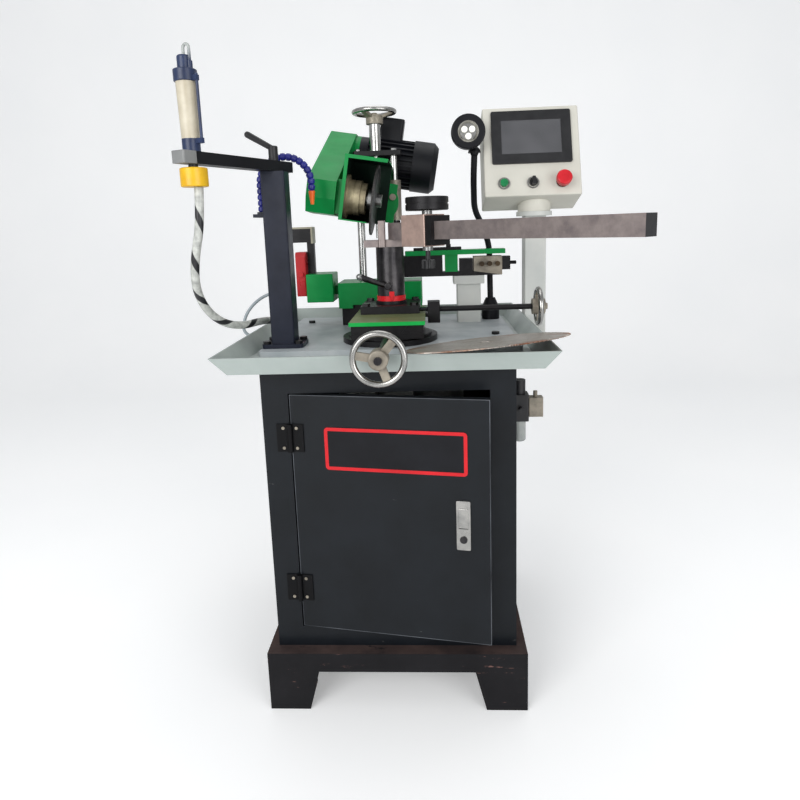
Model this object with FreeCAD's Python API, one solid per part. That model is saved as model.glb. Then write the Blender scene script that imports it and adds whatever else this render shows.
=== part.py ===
import FreeCAD, Part
import math
import os

# Wet grinder for the teeth of circular saw blades, standing on its own cabinet.
# Millimetres, +Z up, +X to the right, +Y away from the operator.
# The origin is on the floor, in the middle of the four feet.

os.makedirs("parts", exist_ok=True)

# Clearances shared by the fits
run_fit = 0.05          # radial play of a turning shaft in its bore
slide_fit = 0.15        # play on each side of a sliding guide
turn_gap = 0.3          # air between faces that turn past each other
bolt_play = 0.5         # radial play of a bolt in its hole
door_gap = 2.0          # air round the door

# Plinth with four tapered feet
base_w = 600.0
base_d = 620.0
base_h = 145.0
base_sheet = 4.0
skirt_h = 47.0
foot_top_w = 119.0
foot_sole_w = 94.0
sole_t = 6.0
anchor_r = 7.0

# Cabinet
cab_w = 556.0
cab_d = 558.0
cab_h = 672.0
cab_sheet = 2.0
cab_flange = 26.0
cab_return = 14.0

# Cabinet door, hung on its left edge and standing a little open
door_left = -217.0
door_w = 437.0
door_bottom = 197.0
door_h = 559.0
door_pan = 18.0
door_open = 9.4
hinge_leaf_w = 30.0
hinge_leaf_h = 64.0
hinge_leaf_t = 3.0
hinge_r = 5.5
hinge_pin_r = 3.0
hinge_low_up = 100.0
hinge_high_up = 461.0
hinge_screw_r = 3.5
hinge_screw_h = 1.6
hinge_screw_in = 9.0

# Plane latch on the door
latch_from_hinge = 380.0
latch_up = 280.0
latch_w = 30.0
latch_h = 112.0
latch_t = 4.0
latch_edge = 3.0
latch_pocket_d = 12.0
latch_lever_w = 20.0
latch_lever_h = 46.0
latch_lever_t = 6.0
latch_lever_up = 16.0
latch_pivot_r = 2.0
latch_key_r = 8.0
latch_key_h = 2.0
latch_key_down = 32.0

# Coolant tank with its dipping pump, inside the cabinet
tank_w = 360.0
tank_d = 300.0
tank_h = 230.0
tank_wall = 3.0
tank_y = 60.0
tank_rim = 12.0
pump_x = 90.0
pump_r = 48.0
pump_h = 120.0
pump_flange_r = 62.0
pump_flange_t = 8.0
pump_shaft_r = 26.0
pump_shaft_l = 150.0
pump_rib_count = 16
pump_rib_t = 3.0
pump_rib_out = 5.0
pump_bridge_d = 130.0
pump_bridge_t = 4.0

# Drive panel inside, on the rear wall
panel_w = 380.0
panel_h = 300.0
panel_t = 3.0
panel_up = 295.0
panel_stand = 20.0
panel_post_r = 8.0
drive_w = 80.0
drive_h = 150.0
drive_d = 95.0
drive_count = 3
drive_pitch = 110.0
rail_w = 35.0
rail_t = 7.0
terminal_w = 300.0
terminal_h = 60.0
terminal_d = 50.0

# Drip tray with flared walls
tray_floor = 3.0
tray_flare = 28.0
tray_lip = 38.0
tray_rim_w = 712.0
tray_front = -370.0
tray_back = 418.0
tray_wall = 3.6
shaft_notch_r = 13.0
drain_x = -228.0
drain_y = -214.0
drain_r = 16.0
drain_wall = 2.0
drain_l = 60.0

# Thick table plate lying in the tray
table_t = 12.0
table_gap = 20.0
table_front = -177.0
table_back = 372.0
table_bolt_in = 47.0
table_bolt_front = -10.0
table_bolt_back_left = 262.0
table_bolt_back_right = 322.0
bolt_r = 5.0
bolt_af = 17.0
bolt_head = 7.0

# Mast on the left
mast_x = -258.0
mast_y = -100.0
mast_foot_w = 100.0
mast_foot_d = 82.0
mast_foot_t = 10.0
mast_bolt_in = 12.0
mast_tube = 56.0
mast_wall = 4.0
mast_corner = 4.0
mast_h = 412.0
mast_cap_t = 8.0
mast_pin_r = 9.0
mast_stud_r = 5.0
mast_stud_l = 56.0

# Swing arm on the mast
arm_w = 32.0
arm_h = 24.0
arm_turn = 245.0
arm_back = 50.0
arm_dark = 255.0
arm_end_l = 36.0
arm_end_step = 1.0
arm_reach = 252.0

# Clamp lever on the arm
lever_hub_r = 11.0
lever_hub_h = 34.0
lever_l = 56.0
lever_root_r = 6.5
lever_tip_r = 7.5
lever_rise = 33.0
lever_turn = 184.0

# Mist tube standing on the arm
mist_foot_r = 17.5
mist_foot_h = 24.0
mist_low_r = 17.5
mist_high_r = 19.8
mist_tube_h = 106.0
mist_cap_r = 22.8
mist_cap_h = 23.0
mist_neck_r = 13.4
mist_neck_h = 26.0
mist_ear_out = 9.0
mist_ear_h = 10.0
mist_ear_w = 8.0
mist_loop_r = 3.0
mist_loop_w = 15.0
mist_loop_up = 12.0
mist_port_r = 5.0
mist_port_l = 14.0

# Yellow swivel cap under the arm
yellow_r = 27.0
yellow_h = 37.0
yellow_edge = 3.0
yellow_stem_r = 9.5
yellow_stem_h = 7.0

# Coolant hose of ball and socket links, from the back of the mast
link_ball_r = 9.0
link_neck_r = 6.0
link_skirt_r = 8.4
link_pitch = 14.0
link_shape = ((0.0, link_neck_r), (0.2, link_ball_r), (0.6, link_ball_r), (0.8, link_skirt_r))
hose_y = -30.0
hose_gland_up = -94.0
hose_gland_r = 11.0
hose_crown_r = 63.0
hose_crown_x = -249.0
hose_crown_up = -22.0
hose_sweep = 180.0
hose_drop = 18.0
hose_bracket_t = 8.0
hose_bracket_w = 40.0
nozzle_root_r = 8.2
nozzle_tip_r = 4.0
nozzle_l = 34.0

# Cords: share of the shorter run that each bend takes
cord_share = 0.45

# Spiral wrapped cable bundle, by its hand-picked points
bundle_r = 9.0
bundle_points = [
    (-357.0, -329.0, 1199.4),
    (-360.0, -329.0, 1130.0),
    (-382.0, -318.0, 1060.0),
    (-397.0, -292.0, 1000.0),
    (-396.0, -250.0, 946.0),
    (-374.0, -204.0, 906.0),
    (-346.0, -150.0, 891.0),
    (-324.0, -88.0, 892.0),
    (-308.0, -26.0, 886.0),
    (-296.0, 24.0, 866.0),
    (-294.0, 40.0, 852.0),
    (-294.0, 40.0, 832.3),
]

# Air hose from the back of the mast over the tray rim
air_r = 4.0
air_points = [
    (-262.0, -72.0, 956.0),
    (-262.0, 0.0, 956.0),
    (-330.0, 2.0, 950.0),
    (-384.0, 0.0, 902.0),
    (-396.0, 0.0, 838.0),
    (-345.8, 0.0, 838.0),
]

# Blade holder: round swivel base and lower dovetail slide
slide_x = -5.0
swivel_y = -42.0
swivel_r = 118.0
swivel_h = 18.0
swivel_lip_r = 104.0
swivel_lip_h = 5.0
lower_w = 170.0
lower_front = -150.0
lower_back = 118.0
lower_h = 14.0
tail_low_w = 66.0
tail_high_w = 96.0
tail_h = 19.0
screw_up = 25.0
shaft_r = 8.0
screw_r = 7.0
screw_bore_r = 9.5
screw_bush_l = 24.0
screw_back = 70.0
nut_w = 22.0
nut_l = 26.0
nut_y = 20.0
nut_play = 2.0

# Green cross slide on the dovetail
cross_w = 178.0
cross_t = 9.0
cross_front = -158.0
cross_back = 132.0
rail_front = -150.0
rail_back = 124.0
cross_lift = 0.3
key_w = 24.0
key_h = 4.0
key_y = 92.0
cross_in = 45.0

# Screw block on the right of the cross slide
sblock_gap = 6.0
sblock_w = 31.0
sblock_d = 42.0
sblock_low_up = -15.3
sblock_high_up = 37.7
cross_screw_y = -8.0
cross_screw_up = 8.0
cross_screw_r = 5.0
cross_screw_in = 66.0
cross_shaft_r = 7.0
cross_bore_l = 96.0

# Column base and swivel column
cbase_w = 150.0
cbase_d = 150.0
cbase_t = 20.0
cbase_front = -27.0
cbase_bolt_in = 14.0
boss_r = 41.0
boss_h = 8.0
column_y = 48.0
column_r = 36.0
column_h = 125.1
spigot_r = 22.0
ring_r = 37.5
ring_in_r = 26.0
ring_h = 13.0
ring_tick_count = 36
ring_tick_w = 1.2
ring_tick_d = 0.8
ring_tick_h = 6.0
pointer_w = 13.0
pointer_h = 25.0
pointer_t = 3.0
pointer_x = 4.0

# Steel clamp lever on the column
clever_up = 26.1
clever_x = -10.0
clever_hub_r = 9.0
clever_hub_l = 16.0
clever_stud_r = 5.0
clever_stud_l = 10.0
clever_l = 72.0
clever_root_r = 6.0
clever_tip_r = 8.5
clever_rise = 26.0

# Bar head, square bar and its carriage
bhead_left = -70.0
bhead_right = 34.0
bhead_d = 62.0
bhead_t = 18.0
bleg_left = -31.0
bleg_t = 18.0
bleg_front = 8.0
bleg_d = 24.0
bleg_h = 66.0
bar_s = 42.0
bar_wall = 5.0
bar_turn = -45.0
bar_start = 20.0
bar_len = 682.0
bar_cap_t = 4.0
bar_screw_head_r = 8.0
bar_screw_head = 6.0
bar_screw_pitch = 26.0
bar_screw_count = 2
carriage_from = 85.0
carriage_l = 80.0
carriage_w = 70.0
carriage_h = 76.0
carriage_plate_t = 20.0
carriage_plate_in = 3.0
carriage_edge = 1.5
arbor_at = 56.0
arbor_r = 10.0
arbor_h = 34.0
collar_r = 12.5
collar_h = 9.0
disc_r = 52.0
disc_h = 32.0
disc_groove = 2.0
disc_groove_h = 4.0
knob_boss_h = 10.0
knob_stem_r = 6.0
knob_stem_l = 23.0
knob_stem_in = 12.0
knob_r = 17.0
knob_h = 20.0
knob_lobes = 6
knob_lobe_r = 4.5

# Grinding head: base, saddle and lift frame
hbase_left = -160.0
hbase_right = 64.0
hbase_front = 204.0
hbase_back = 366.0
hbase_h = 50.0
way_w = 26.0
way_h = 10.0
way_in = 34.0
saddle_left = -167.0
saddle_right = 73.0
saddle_front = 190.0
saddle_back = 330.0
saddle_h = 72.7
saddle_lift = 0.3
sbox_left = -257.0
sbox_right = -180.0
sbox_low_up = 19.7
sbox_high_up = 100.7
sbox_front = 185.0
sbox_back = 290.0
sbox_edge = 3.0
sbox_arm_low_up = 37.7
sbox_arm_high_up = 62.7
sbox_arm_front = 230.0

# Feed unit with its cream end plates, carried on the saddle box
feed_left = -330.0
feed_right = -236.0
feed_up = 90.0
feed_h = 36.0
feed_d = 40.0
feed_y = 215.0
feed_plate_w = 5.0
feed_plate_over = 6.0
feed_top_t = 8.0
feed_leg_l = 20.0
feed_leg_d = 20.0

# Red switch box on the left of the saddle box
sw_w = 30.0
sw_d = 60.0
sw_up = 37.7
sw_h = 126.0
sw_y = 195.0
sw_edge = 5.0
sw_knob_r = 8.0
sw_knob_h = 6.0
sw_slope = 12.0

# Lift frame and lift screw
guide_y = 252.0
lift_x = -48.5
rod_r = 11.0
rod_off = 50.0
rod_seat = 24.0
top_up = 353.0
top_left = 62.5
top_right = 73.0
top_d = 52.0
top_t = 13.0
top_edge = 6.0
top_nut_r = 8.0
top_nut_h = 7.0
sleeve_r = 16.0
sleeve_h = 74.0
lift_screw_l = 230.0
lift_shaft_r = 8.0

# Handwheels
wheel_r = 57.2
wheel_rim_r = 6.5
wheel_hub_r = 20.0
wheel_hub_h = 32.0
wheel_spoke_w = 16.0
wheel_spoke_t = 8.0
wheel_dish = 16.0
wheel_bolt_r = 8.0
wheel_bolt_h = 6.0
wheel_spokes = 3
front_wheel_y = -404.0
front_wheel_turn = 50.0
side_wheel_r = 50.0
side_wheel_x = 369.0
top_wheel_r = 63.5
top_wheel_up = 32.7
top_hub_r = 24.0
top_hub_h = 24.0

# Tilted grinding head: everything below is set out square and then tilted about the pivot
tilt = 9.5
pivot_x = -44.0
pivot_up = 225.0
spindle_y = 112.0
gwheel_r = 92.0
gwheel_t = 8.0
gwheel_rim_t = 4.0
gwheel_body_r = 70.0
hood_left = -80.0
hood_right = 28.0
hood_top = 102.0
hood_bottom = -62.0
hood_front = 25.0
hood_back = 211.0
hood_sheet = 3.0
hood_lip = 9.0
hood_floor_right = -8.0
swivel_plate_t = 12.0
swivel_disc_r = 58.0
side_plate_t = 16.0
side_plate_right = -80.3
web_left = -86.0
web_right = 50.0
web_half = 54.0
splate_front = 60.0
splate_low = 48.0
splate_high = 40.0
splate_neck_front = 216.0
splate_neck_top = 8.0
splate_neck_back = 284.0
splate_back = 424.0
splate_back_low = 66.0
pivot_pin_r = 14.0
pivot_pin_l = 12.0
tilt_bolt_x = 40.0
tilt_bolt_up = 18.0
tilt_bolt_head_r = 9.0
tilt_bolt_head = 8.0

# Head slide on the two rods
bush_r = 19.0
bush_low = -52.0
bush_high = 60.0
slide_web_d = 26.0
slide_web_in = 12.0
slide_flange_r = 58.0
slide_nut_r = 17.0

# Spindle with its housing, flanges and pulleys
sp_flange_r = 58.0
sp_flange_t = 9.0
sp_drum_r = 46.0
sp_drum_l = 34.0
sp_ring_r = 41.0
sp_ring_l = 15.0
sp_groove = 2.0
shaft_spin_r = 15.0
wflange_r = 31.0
wflange_l = 13.0
wnut_r = 17.0
wnut_l = 14.0
pulley_left = -154.0
pulley_w = 30.0
pulley_r = 42.0
motor_pulley_r = 48.0
pulley_lip = 5.0
pulley_lip_w = 6.0
belt_t = 8.0
belt_gap = 0.35

# Motor behind the lift frame
motor_y = 352.0
motor_up = 120.0
motor_body_r = 62.0
fin_out = 9.0
fin_t = 4.0
fin_count = 26
bell_r = 66.0
bell_l = 24.0
motor_body_right = 78.0
fan_r = 74.0
fan_right = 150.0
fan_chamfer = 14.0
fan_slot_w = 5.0
fan_slot_count = 10
tbox_left = -30.0
tbox_right = 38.0
tbox_d = 60.0
tbox_top = 246.0
tbox_edge = 8.0
motor_shaft_r = 9.5

# Belt guard
guard_left = -172.0
guard_sheet = 2.5
guard_front = 42.0
guard_fold_high = 32.0
guard_fold_low = -14.0
guard_toe_y = 58.0
guard_toe = -52.0
guard_heel_y = 160.0
guard_heel = -56.0
guard_back = 428.0
guard_back_low = 62.0
guard_back_high = 150.0
guard_crown_back = 396.0
guard_crown_front = 325.0
guard_crown = 188.0

# Tooth index on its pedestal
ped_left = 174.0
ped_right = 241.0
ped_front = 200.0
ped_d = 66.0
ped_h = 111.0
ped_wall = 4.0
ped_cap_over = 10.0
ped_cap_h = 23.0
idx_left = 20.0
idx_right = 302.0
idx_front = 200.0
idx_d = 46.0
idx_bar_t = 12.0
idx_block_right = 134.0
idx_block_h = 48.0
idx_block_edge = 2.0
idx_valve_left = 182.0
idx_valve_right = 219.0
idx_valve_h = 36.0
idx_bracket_left = 222.0
idx_bracket_h = 41.0
idx_fit_r = 7.0
idx_fit_l = 14.0
idx_fit_pitch = 22.0
idx_fit_count = 3
idx_end_w = 24.0
idx_end_d = 26.0
idx_end_h = 38.0
idx_nub_r = 5.0
idx_nub_l = 18.0
cover_left = 28.0
cover_right = 311.0
cover_t = 13.0
cover_over = 5.0
cover_leg_left = 141.0
cover_leg_right = 177.0
pawl_left = 119.0
pawl_right = 188.0
pawl_t = 8.0
pawl_d = 34.0
pawl_key_w = 12.0
pawl_key_l = 26.0
pawl_key_h = 8.0
pawl_slot_l = 80.0
pawl_slot_left = 112.0
pawl_tip = 52.0
pawl_tip_w = 10.0
pawl_bolt_r = 6.0
pawl_bolt_h = 8.0

# Control post with its tilted box
post_gap = 2.0
post_s = 58.0
post_front = 152.0
post_low_up = -82.0
post_top_up = 309.0
post_wall = 3.0
post_bracket_h = 62.0
post_bracket_t = 8.0
flange_r = 48.0
flange_h = 12.0
post_pin_r = 16.0
post_pin_h = 8.0
cbox_w = 254.0
cbox_h = 248.0
cbox_d = 115.0
cbox_wall = 2.5
cbox_edge = 4.0
cbox_tilt = 18.0
cbox_x = 375.0
cbox_front = 112.0
cbox_low_up = 40.0
cbox_neck_r = 44.0
panel_frame_w = 210.0
panel_frame_h = 147.0
panel_frame_t = 6.0
panel_frame_up = 88.0
panel_body_w = 188.0
panel_body_h = 130.0
panel_body_d = 38.0
panel_screen_w = 158.0
panel_screen_h = 94.0
panel_screen_in = 1.5
panel_round = 5.0
button_up = 35.0
button_pitch = 76.0
button_count = 3
bezel_r = 16.0
bezel_t = 4.0
stem_r = 9.0
stem_l = 30.0
button_cap_r = 10.5
button_cap_h = 7.0
selector_w = 9.0
selector_h = 12.0
stop_cap_r = 20.0
stop_cap_h = 16.0
stop_neck_r = 13.0
stop_neck_h = 12.0
stop_press = 5.0

# Work lamp
lamp_x = 274.0
lamp_y = 266.0
lamp_base_r = 26.0
lamp_base_low_h = 34.0
lamp_base_h = 62.0
lamp_base_neck_r = 14.0
neck_r = 8.5
lamp_points = [
    (274.0, 266.0, 894.0),
    (272.0, 268.0, 1050.0),
    (248.0, 246.0, 1110.0),
    (226.0, 212.0, 1150.0),
    (222.0, 170.0, 1230.0),
    (224.0, 152.0, 1296.0),
]
lamp_ball_r = 11.0
lamp_head_x = 206.0
lamp_head_y = 106.0
lamp_head_z = 1346.0
lamp_head_r = 44.5
lamp_head_d = 32.0
lamp_back_r = 26.0
lamp_back_d = 14.0
lamp_bowl_r = 27.0
lamp_bowl_d = 8.0
lamp_led_r = 8.0
lamp_led_off = 11.5
lamp_bowl_edge = 1.5
lamp_led_h = 4.0
lamp_led_count = 3
lamp_fork_r = 6.0

# Air unit on the right side of the cabinet
air_y = -150.0
air_x = 302.0
air_top_up = -70.0
air_head_r = 9.0
air_head_h = 33.0
air_body_s = 40.0
air_body_h = 64.0
air_bowl_r = 15.0
air_bowl_h = 52.0
air_valve_w = 34.0
air_valve_h = 46.0
air_valve_d = 26.0
air_nip_r = 5.0
air_nip_l = 14.0

# Saw blade lying on the tray rim and the table
blade_r = 175.0
blade_t = 2.2
blade_bore_r = 15.0
blade_in = 141.0
blade_y = -271.0
blade_teeth = 96
blade_tooth_d = 5.0
blade_rest = 0.05
blade_tooth_share = 0.7
blade_steps = 30

# Heights that follow from the stack
cab_top = base_h + cab_h
floor_z = cab_top + tray_floor
rim_z = floor_z + tray_lip
table_z = floor_z + table_t
slide_z = table_z + swivel_h
tail_z = slide_z + lower_h
cross_z = tail_z + tail_h + cross_lift
cross_top = cross_z + cross_t
cbase_z = cross_top + cross_lift
boss_z = cbase_z + cbase_t
ring_z = boss_z + boss_h
column_z = ring_z + ring_h + turn_gap
cross_screw_z = cbase_z + cross_screw_up
way_z = table_z + hbase_h
saddle_z = way_z + saddle_lift
web_y = hood_back
mast_top = table_z + mast_h
screw_z = table_z + screw_up
hose_gland_z = mast_top + hose_gland_up
hose_crown_z = mast_top + hose_crown_up
hinge_low = door_bottom + hinge_low_up
hinge_high = door_bottom + hinge_high_up
latch_z = door_bottom + latch_up
panel_z = base_h + panel_up
air_top = cab_top + air_top_up
sblock_low = cross_z + sblock_low_up
sblock_high = cross_z + sblock_high_up
column_top = column_z + column_h
clever_z = column_z + clever_up
bleg_top = column_top + bleg_h
saddle_top = saddle_z + saddle_h
sbox_low = saddle_z + sbox_low_up
sbox_high = saddle_z + sbox_high_up
sbox_arm_low = saddle_z + sbox_arm_low_up
sbox_arm_high = saddle_z + sbox_arm_high_up
feed_low = sbox_high + feed_up
sw_low = saddle_z + sw_up
top_z = saddle_top + top_up
pivot_z = saddle_top + pivot_up
ped_top = table_z + ped_h
idx_block_top = ped_top + ped_cap_h + idx_bar_t + idx_block_h
idx_valve_top = ped_top + ped_cap_h + idx_bar_t + idx_valve_h
idx_bracket_top = ped_top + ped_cap_h + idx_bar_t + idx_bracket_h
post_low = cab_top + post_low_up
post_top = cab_top + post_top_up
cbox_low = post_top + flange_h + cbox_low_up
flange_y = web_y + swivel_plate_t + turn_gap
arm_z = mast_top + turn_gap
cab_front = -cab_d / 2
cab_right = cab_w / 2

right = FreeCAD.Vector(1, 0, 0)
back = FreeCAD.Vector(0, 1, 0)
up = FreeCAD.Vector(0, 0, 1)


def vec(x, y, z):
    return FreeCAD.Vector(x, y, z)


def block(x0, x1, y0, y1, z0, z1):
    return Part.makeBox(x1 - x0, y1 - y0, z1 - z0, vec(x0, y0, z0))


def bar_x(x0, x1, y, z, r):
    return Part.makeCylinder(r, x1 - x0, vec(x0, y, z), right)


def bar_y(x, y0, y1, z, r):
    return Part.makeCylinder(r, y1 - y0, vec(x, y0, z), back)


def bar_z(x, y, z0, z1, r):
    return Part.makeCylinder(r, z1 - z0, vec(x, y, z0), up)


def cone_between(a, b, r0, r1):
    return Part.makeCone(r0, r1, (b - a).Length, a, b - a)


def rod_between(a, b, r):
    return Part.makeCylinder(r, (b - a).Length, a, b - a)


def outline(points):
    return Part.makePolygon(points + [points[0]])


def prism(points, push):
    return Part.Face(outline(points)).extrude(push)


def prism_x(profile, x0, x1):
    return prism([vec(x0, y, z) for y, z in profile], vec(x1 - x0, 0, 0))


def prism_y(profile, y0, y1):
    return prism([vec(x, y0, z) for x, z in profile], vec(0, y1 - y0, 0))


def fuse(first, *others):
    return first.multiFuse(list(others)).removeSplitter()


def cut(shape, *tools):
    return shape.cut(list(tools)).removeSplitter()


def along(shape, axis):
    # Straight edges of a shape that run along an axis
    found = []
    for edge in shape.Edges:
        if edge.Curve.TypeId != "Part::GeomLine":
            continue
        run = edge.Vertexes[-1].Point - edge.Vertexes[0].Point
        if abs(run.normalize().dot(axis)) > math.cos(math.radians(1)):
            found.append(edge)
    return found


def rounded(shape, radius, *axes):
    edges = []
    for axis in axes:
        edges += along(shape, axis)
    return shape.makeFillet(radius, edges)


def hexagon_z(x, y, z0, z1, across):
    corner = across / 2 / math.cos(math.radians(30))
    points = []
    for side in range(6):
        angle = math.radians(60 * side)
        points.append(vec(x + corner * math.cos(angle), y + corner * math.sin(angle), z0))
    return prism(points, vec(0, 0, z1 - z0))


def hex_bolt(x, y, seat, length):
    head = hexagon_z(x, y, seat, seat + bolt_head, bolt_af)
    return fuse(head, bar_z(x, y, seat - length, seat, bolt_r))


def save(name, shape):
    shape.exportStep("parts/" + name + ".step")
    print(name, len(shape.Solids), "solids", round(shape.Volume / 1000.0, 1), "cm3", shape.isValid())


# Plinth: folded pan with a tapered angle foot and a drilled sole at each corner
def base_frame():
    hw = base_w / 2
    hd = base_d / 2
    skirt_z = base_h - skirt_h
    pan = block(-hw, hw, -hd, hd, skirt_z, base_h)
    inside = block(-hw + base_sheet, hw - base_sheet, -hd + base_sheet, hd - base_sheet, skirt_z, base_h - base_sheet)
    pieces = []
    holes = [inside]
    for sx in (-1, 1):
        for sy in (-1, 1):
            x = sx * hw
            y = sy * hd
            face = [(x, 0), (x - sx * foot_sole_w, 0), (x - sx * foot_top_w, skirt_z), (x, skirt_z)]
            pieces.append(prism_y(face, min(y, y - sy * base_sheet), max(y, y - sy * base_sheet)))
            side = [(y, 0), (y - sy * foot_sole_w, 0), (y - sy * foot_top_w, skirt_z), (y, skirt_z)]
            pieces.append(prism_x(side, min(x, x - sx * base_sheet), max(x, x - sx * base_sheet)))
            inner_x = x - sx * foot_sole_w
            inner_y = y - sy * foot_sole_w
            sole = block(min(x, inner_x), max(x, inner_x), min(y, inner_y), max(y, inner_y), 0, sole_t)
            pieces.append(sole)
            holes.append(bar_z((x + inner_x) / 2, (y + inner_y) / 2, -sole_t, 2 * sole_t, anchor_r))
    return cut(fuse(pan, *pieces), *holes)


# Cabinet: welded sheet box with flanges and a returned door opening
def opening_box(margin, y0, y1):
    return block(
        door_left - margin, door_left + door_w + margin,
        y0, y1,
        door_bottom - margin, door_bottom + door_h + margin,
    )


def cabinet_shell():
    hw = cab_w / 2
    hd = cab_d / 2
    walls = block(-hw, hw, -hd, hd, base_h, cab_top)
    inside = block(-hw + cab_sheet, hw - cab_sheet, -hd + cab_sheet, hd - cab_sheet,
                   base_h + cab_sheet, cab_top - cab_sheet)
    throat = block(-hw + cab_flange, hw - cab_flange, -hd + cab_flange, hd - cab_flange, 0, 2 * cab_top)
    returned = opening_box(door_gap + cab_sheet, -hd, -hd + cab_return)
    opening = opening_box(door_gap, -2 * hd, -hd + cab_return)
    return cut(fuse(cut(walls, inside, throat), returned), opening)


hinge_x = door_left - door_gap / 2
hinge_y = cab_front - hinge_r


def hung(shape):
    # Turns a piece drawn on the shut door to the door's rest angle
    turned = shape.copy()
    turned.rotate(vec(hinge_x, hinge_y, 0), up, -door_open)
    return turned


def leaf_screws(x, z):
    heads = []
    for lift in (-1, 1):
        level = z + lift * (hinge_leaf_h / 2 - hinge_screw_in)
        heads.append(bar_y(x, cab_front - hinge_leaf_t - hinge_screw_h, cab_front - hinge_leaf_t, level, hinge_screw_r))
    return heads


def hinge_leaf(z, side):
    # One leaf, without its knuckle: side is -1 on the cabinet and 1 on the door
    near = hinge_x + side * (hinge_r + turn_gap)
    far = hinge_x + side * hinge_leaf_w
    low = z - hinge_leaf_h / 2
    return block(min(near, far), max(near, far), cab_front - hinge_leaf_t, cab_front, low, low + hinge_leaf_h)


def knuckle(z0, z1, side):
    far = hinge_x + side * (hinge_r + 2 * turn_gap)
    tongue = block(min(hinge_x, far), max(hinge_x, far), cab_front - hinge_leaf_t, cab_front, z0, z1)
    return fuse(bar_z(hinge_x, hinge_y, z0, z1, hinge_r), tongue)


def door_hinges():
    hinges = []
    third = hinge_leaf_h / 3
    for z in (hinge_low, hinge_high):
        low = z - hinge_leaf_h / 2
        hinges.append(fuse(
            hinge_leaf(z, -1),
            knuckle(low, low + third, -1),
            knuckle(low + 2 * third, low + 3 * third, -1),
            bar_z(hinge_x, hinge_y, low, low + 3 * third, hinge_pin_r),
            *leaf_screws(hinge_x - hinge_leaf_w / 2, z),
        ))
    return Part.makeCompound(hinges)


latch_x = hinge_x + latch_from_hinge
latch_face = cab_front - latch_t
latch_pivot_z = latch_z + latch_lever_up + latch_lever_h / 2 - latch_lever_t
latch_pivot_y = latch_face + latch_lever_t / 2


def latch_pocket(margin):
    half = latch_lever_w / 2 + margin
    middle = latch_z + latch_lever_up
    return block(latch_x - half, latch_x + half, latch_face - margin, cab_front + latch_pocket_d,
                 middle - latch_lever_h / 2 - margin, middle + latch_lever_h / 2 + margin)


def cabinet_door():
    pan = opening_box(0, cab_front, cab_front + door_pan)
    hollow = opening_box(-cab_sheet, cab_front + cab_sheet, cab_front + 2 * door_pan)
    moving = []
    third = hinge_leaf_h / 3
    for z in (hinge_low, hinge_high):
        low = z - hinge_leaf_h / 2
        moving.append(hinge_leaf(z, 1))
        moving.append(knuckle(low + third + turn_gap, low + 2 * third - turn_gap, 1))
        moving += leaf_screws(hinge_x + hinge_leaf_w / 2, z)
    plate = rounded(
        block(latch_x - latch_w / 2, latch_x + latch_w / 2, latch_face, cab_front + latch_pocket_d + cab_sheet,
              latch_z - latch_h / 2, latch_z + latch_h / 2), latch_edge, back)
    key = bar_y(latch_x, latch_face - latch_key_h, latch_face, latch_z - latch_key_down, latch_key_r)
    bores = [latch_pocket(turn_gap)]
    bores.append(bar_x(latch_x - latch_w / 2, latch_x + latch_w / 2, latch_pivot_y, latch_pivot_z,
                       latch_pivot_r + run_fit))
    for z in (hinge_low, hinge_high):
        bores.append(bar_z(hinge_x, hinge_y, z - hinge_leaf_h, z + hinge_leaf_h, hinge_pin_r + run_fit))
    return hung(cut(fuse(cut(pan, hollow), plate, key, *moving), *bores))


def latch_lever():
    half = latch_lever_w / 2
    middle = latch_z + latch_lever_up
    tongue = rounded(
        block(latch_x - half, latch_x + half, latch_face, latch_face + latch_lever_t,
              middle - latch_lever_h / 2, middle + latch_lever_h / 2), latch_lever_t / 3, right)
    pin = bar_x(latch_x - latch_w / 2, latch_x + latch_w / 2, latch_pivot_y, latch_pivot_z, latch_pivot_r)
    return hung(fuse(tongue, pin))


# Coolant tank on the plinth, with the dipping pump on a bridge across it
def coolant_tank():
    hw = tank_w / 2
    y0 = tank_y - tank_d / 2
    y1 = tank_y + tank_d / 2
    top = base_h + tank_h
    body = block(-hw, hw, y0, y1, base_h, top)
    inside = block(-hw + tank_wall, hw - tank_wall, y0 + tank_wall, y1 - tank_wall, base_h + tank_wall, 2 * top)
    rim = block(-hw - tank_rim, hw + tank_rim, y0 - tank_rim, y1 + tank_rim, top - tank_wall, top)
    half = pump_bridge_d / 2
    bridge = block(pump_x - half, pump_x + half, y0, y1, top, top + pump_bridge_t)
    seat = top + pump_bridge_t
    flange = bar_z(pump_x, tank_y, seat, seat + pump_flange_t, pump_flange_r)
    case = bar_z(pump_x, tank_y, seat, seat + pump_h, pump_r)
    case = case.makeChamfer(pump_rib_out, [case.Edges[0]])
    dip = bar_z(pump_x, tank_y, seat - pump_shaft_l, seat, pump_shaft_r)
    ribs = []
    for turn in range(pump_rib_count):
        rib = block(pump_x, pump_x + pump_r + pump_rib_out, tank_y - pump_rib_t / 2, tank_y + pump_rib_t / 2,
                    seat + pump_flange_t, seat + pump_h - 2 * pump_flange_t)
        rib.rotate(vec(pump_x, tank_y, 0), up, 360.0 * turn / pump_rib_count)
        ribs.append(rib)
    return fuse(cut(fuse(body, rim), inside), bridge, flange, case, dip, *ribs)


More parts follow.
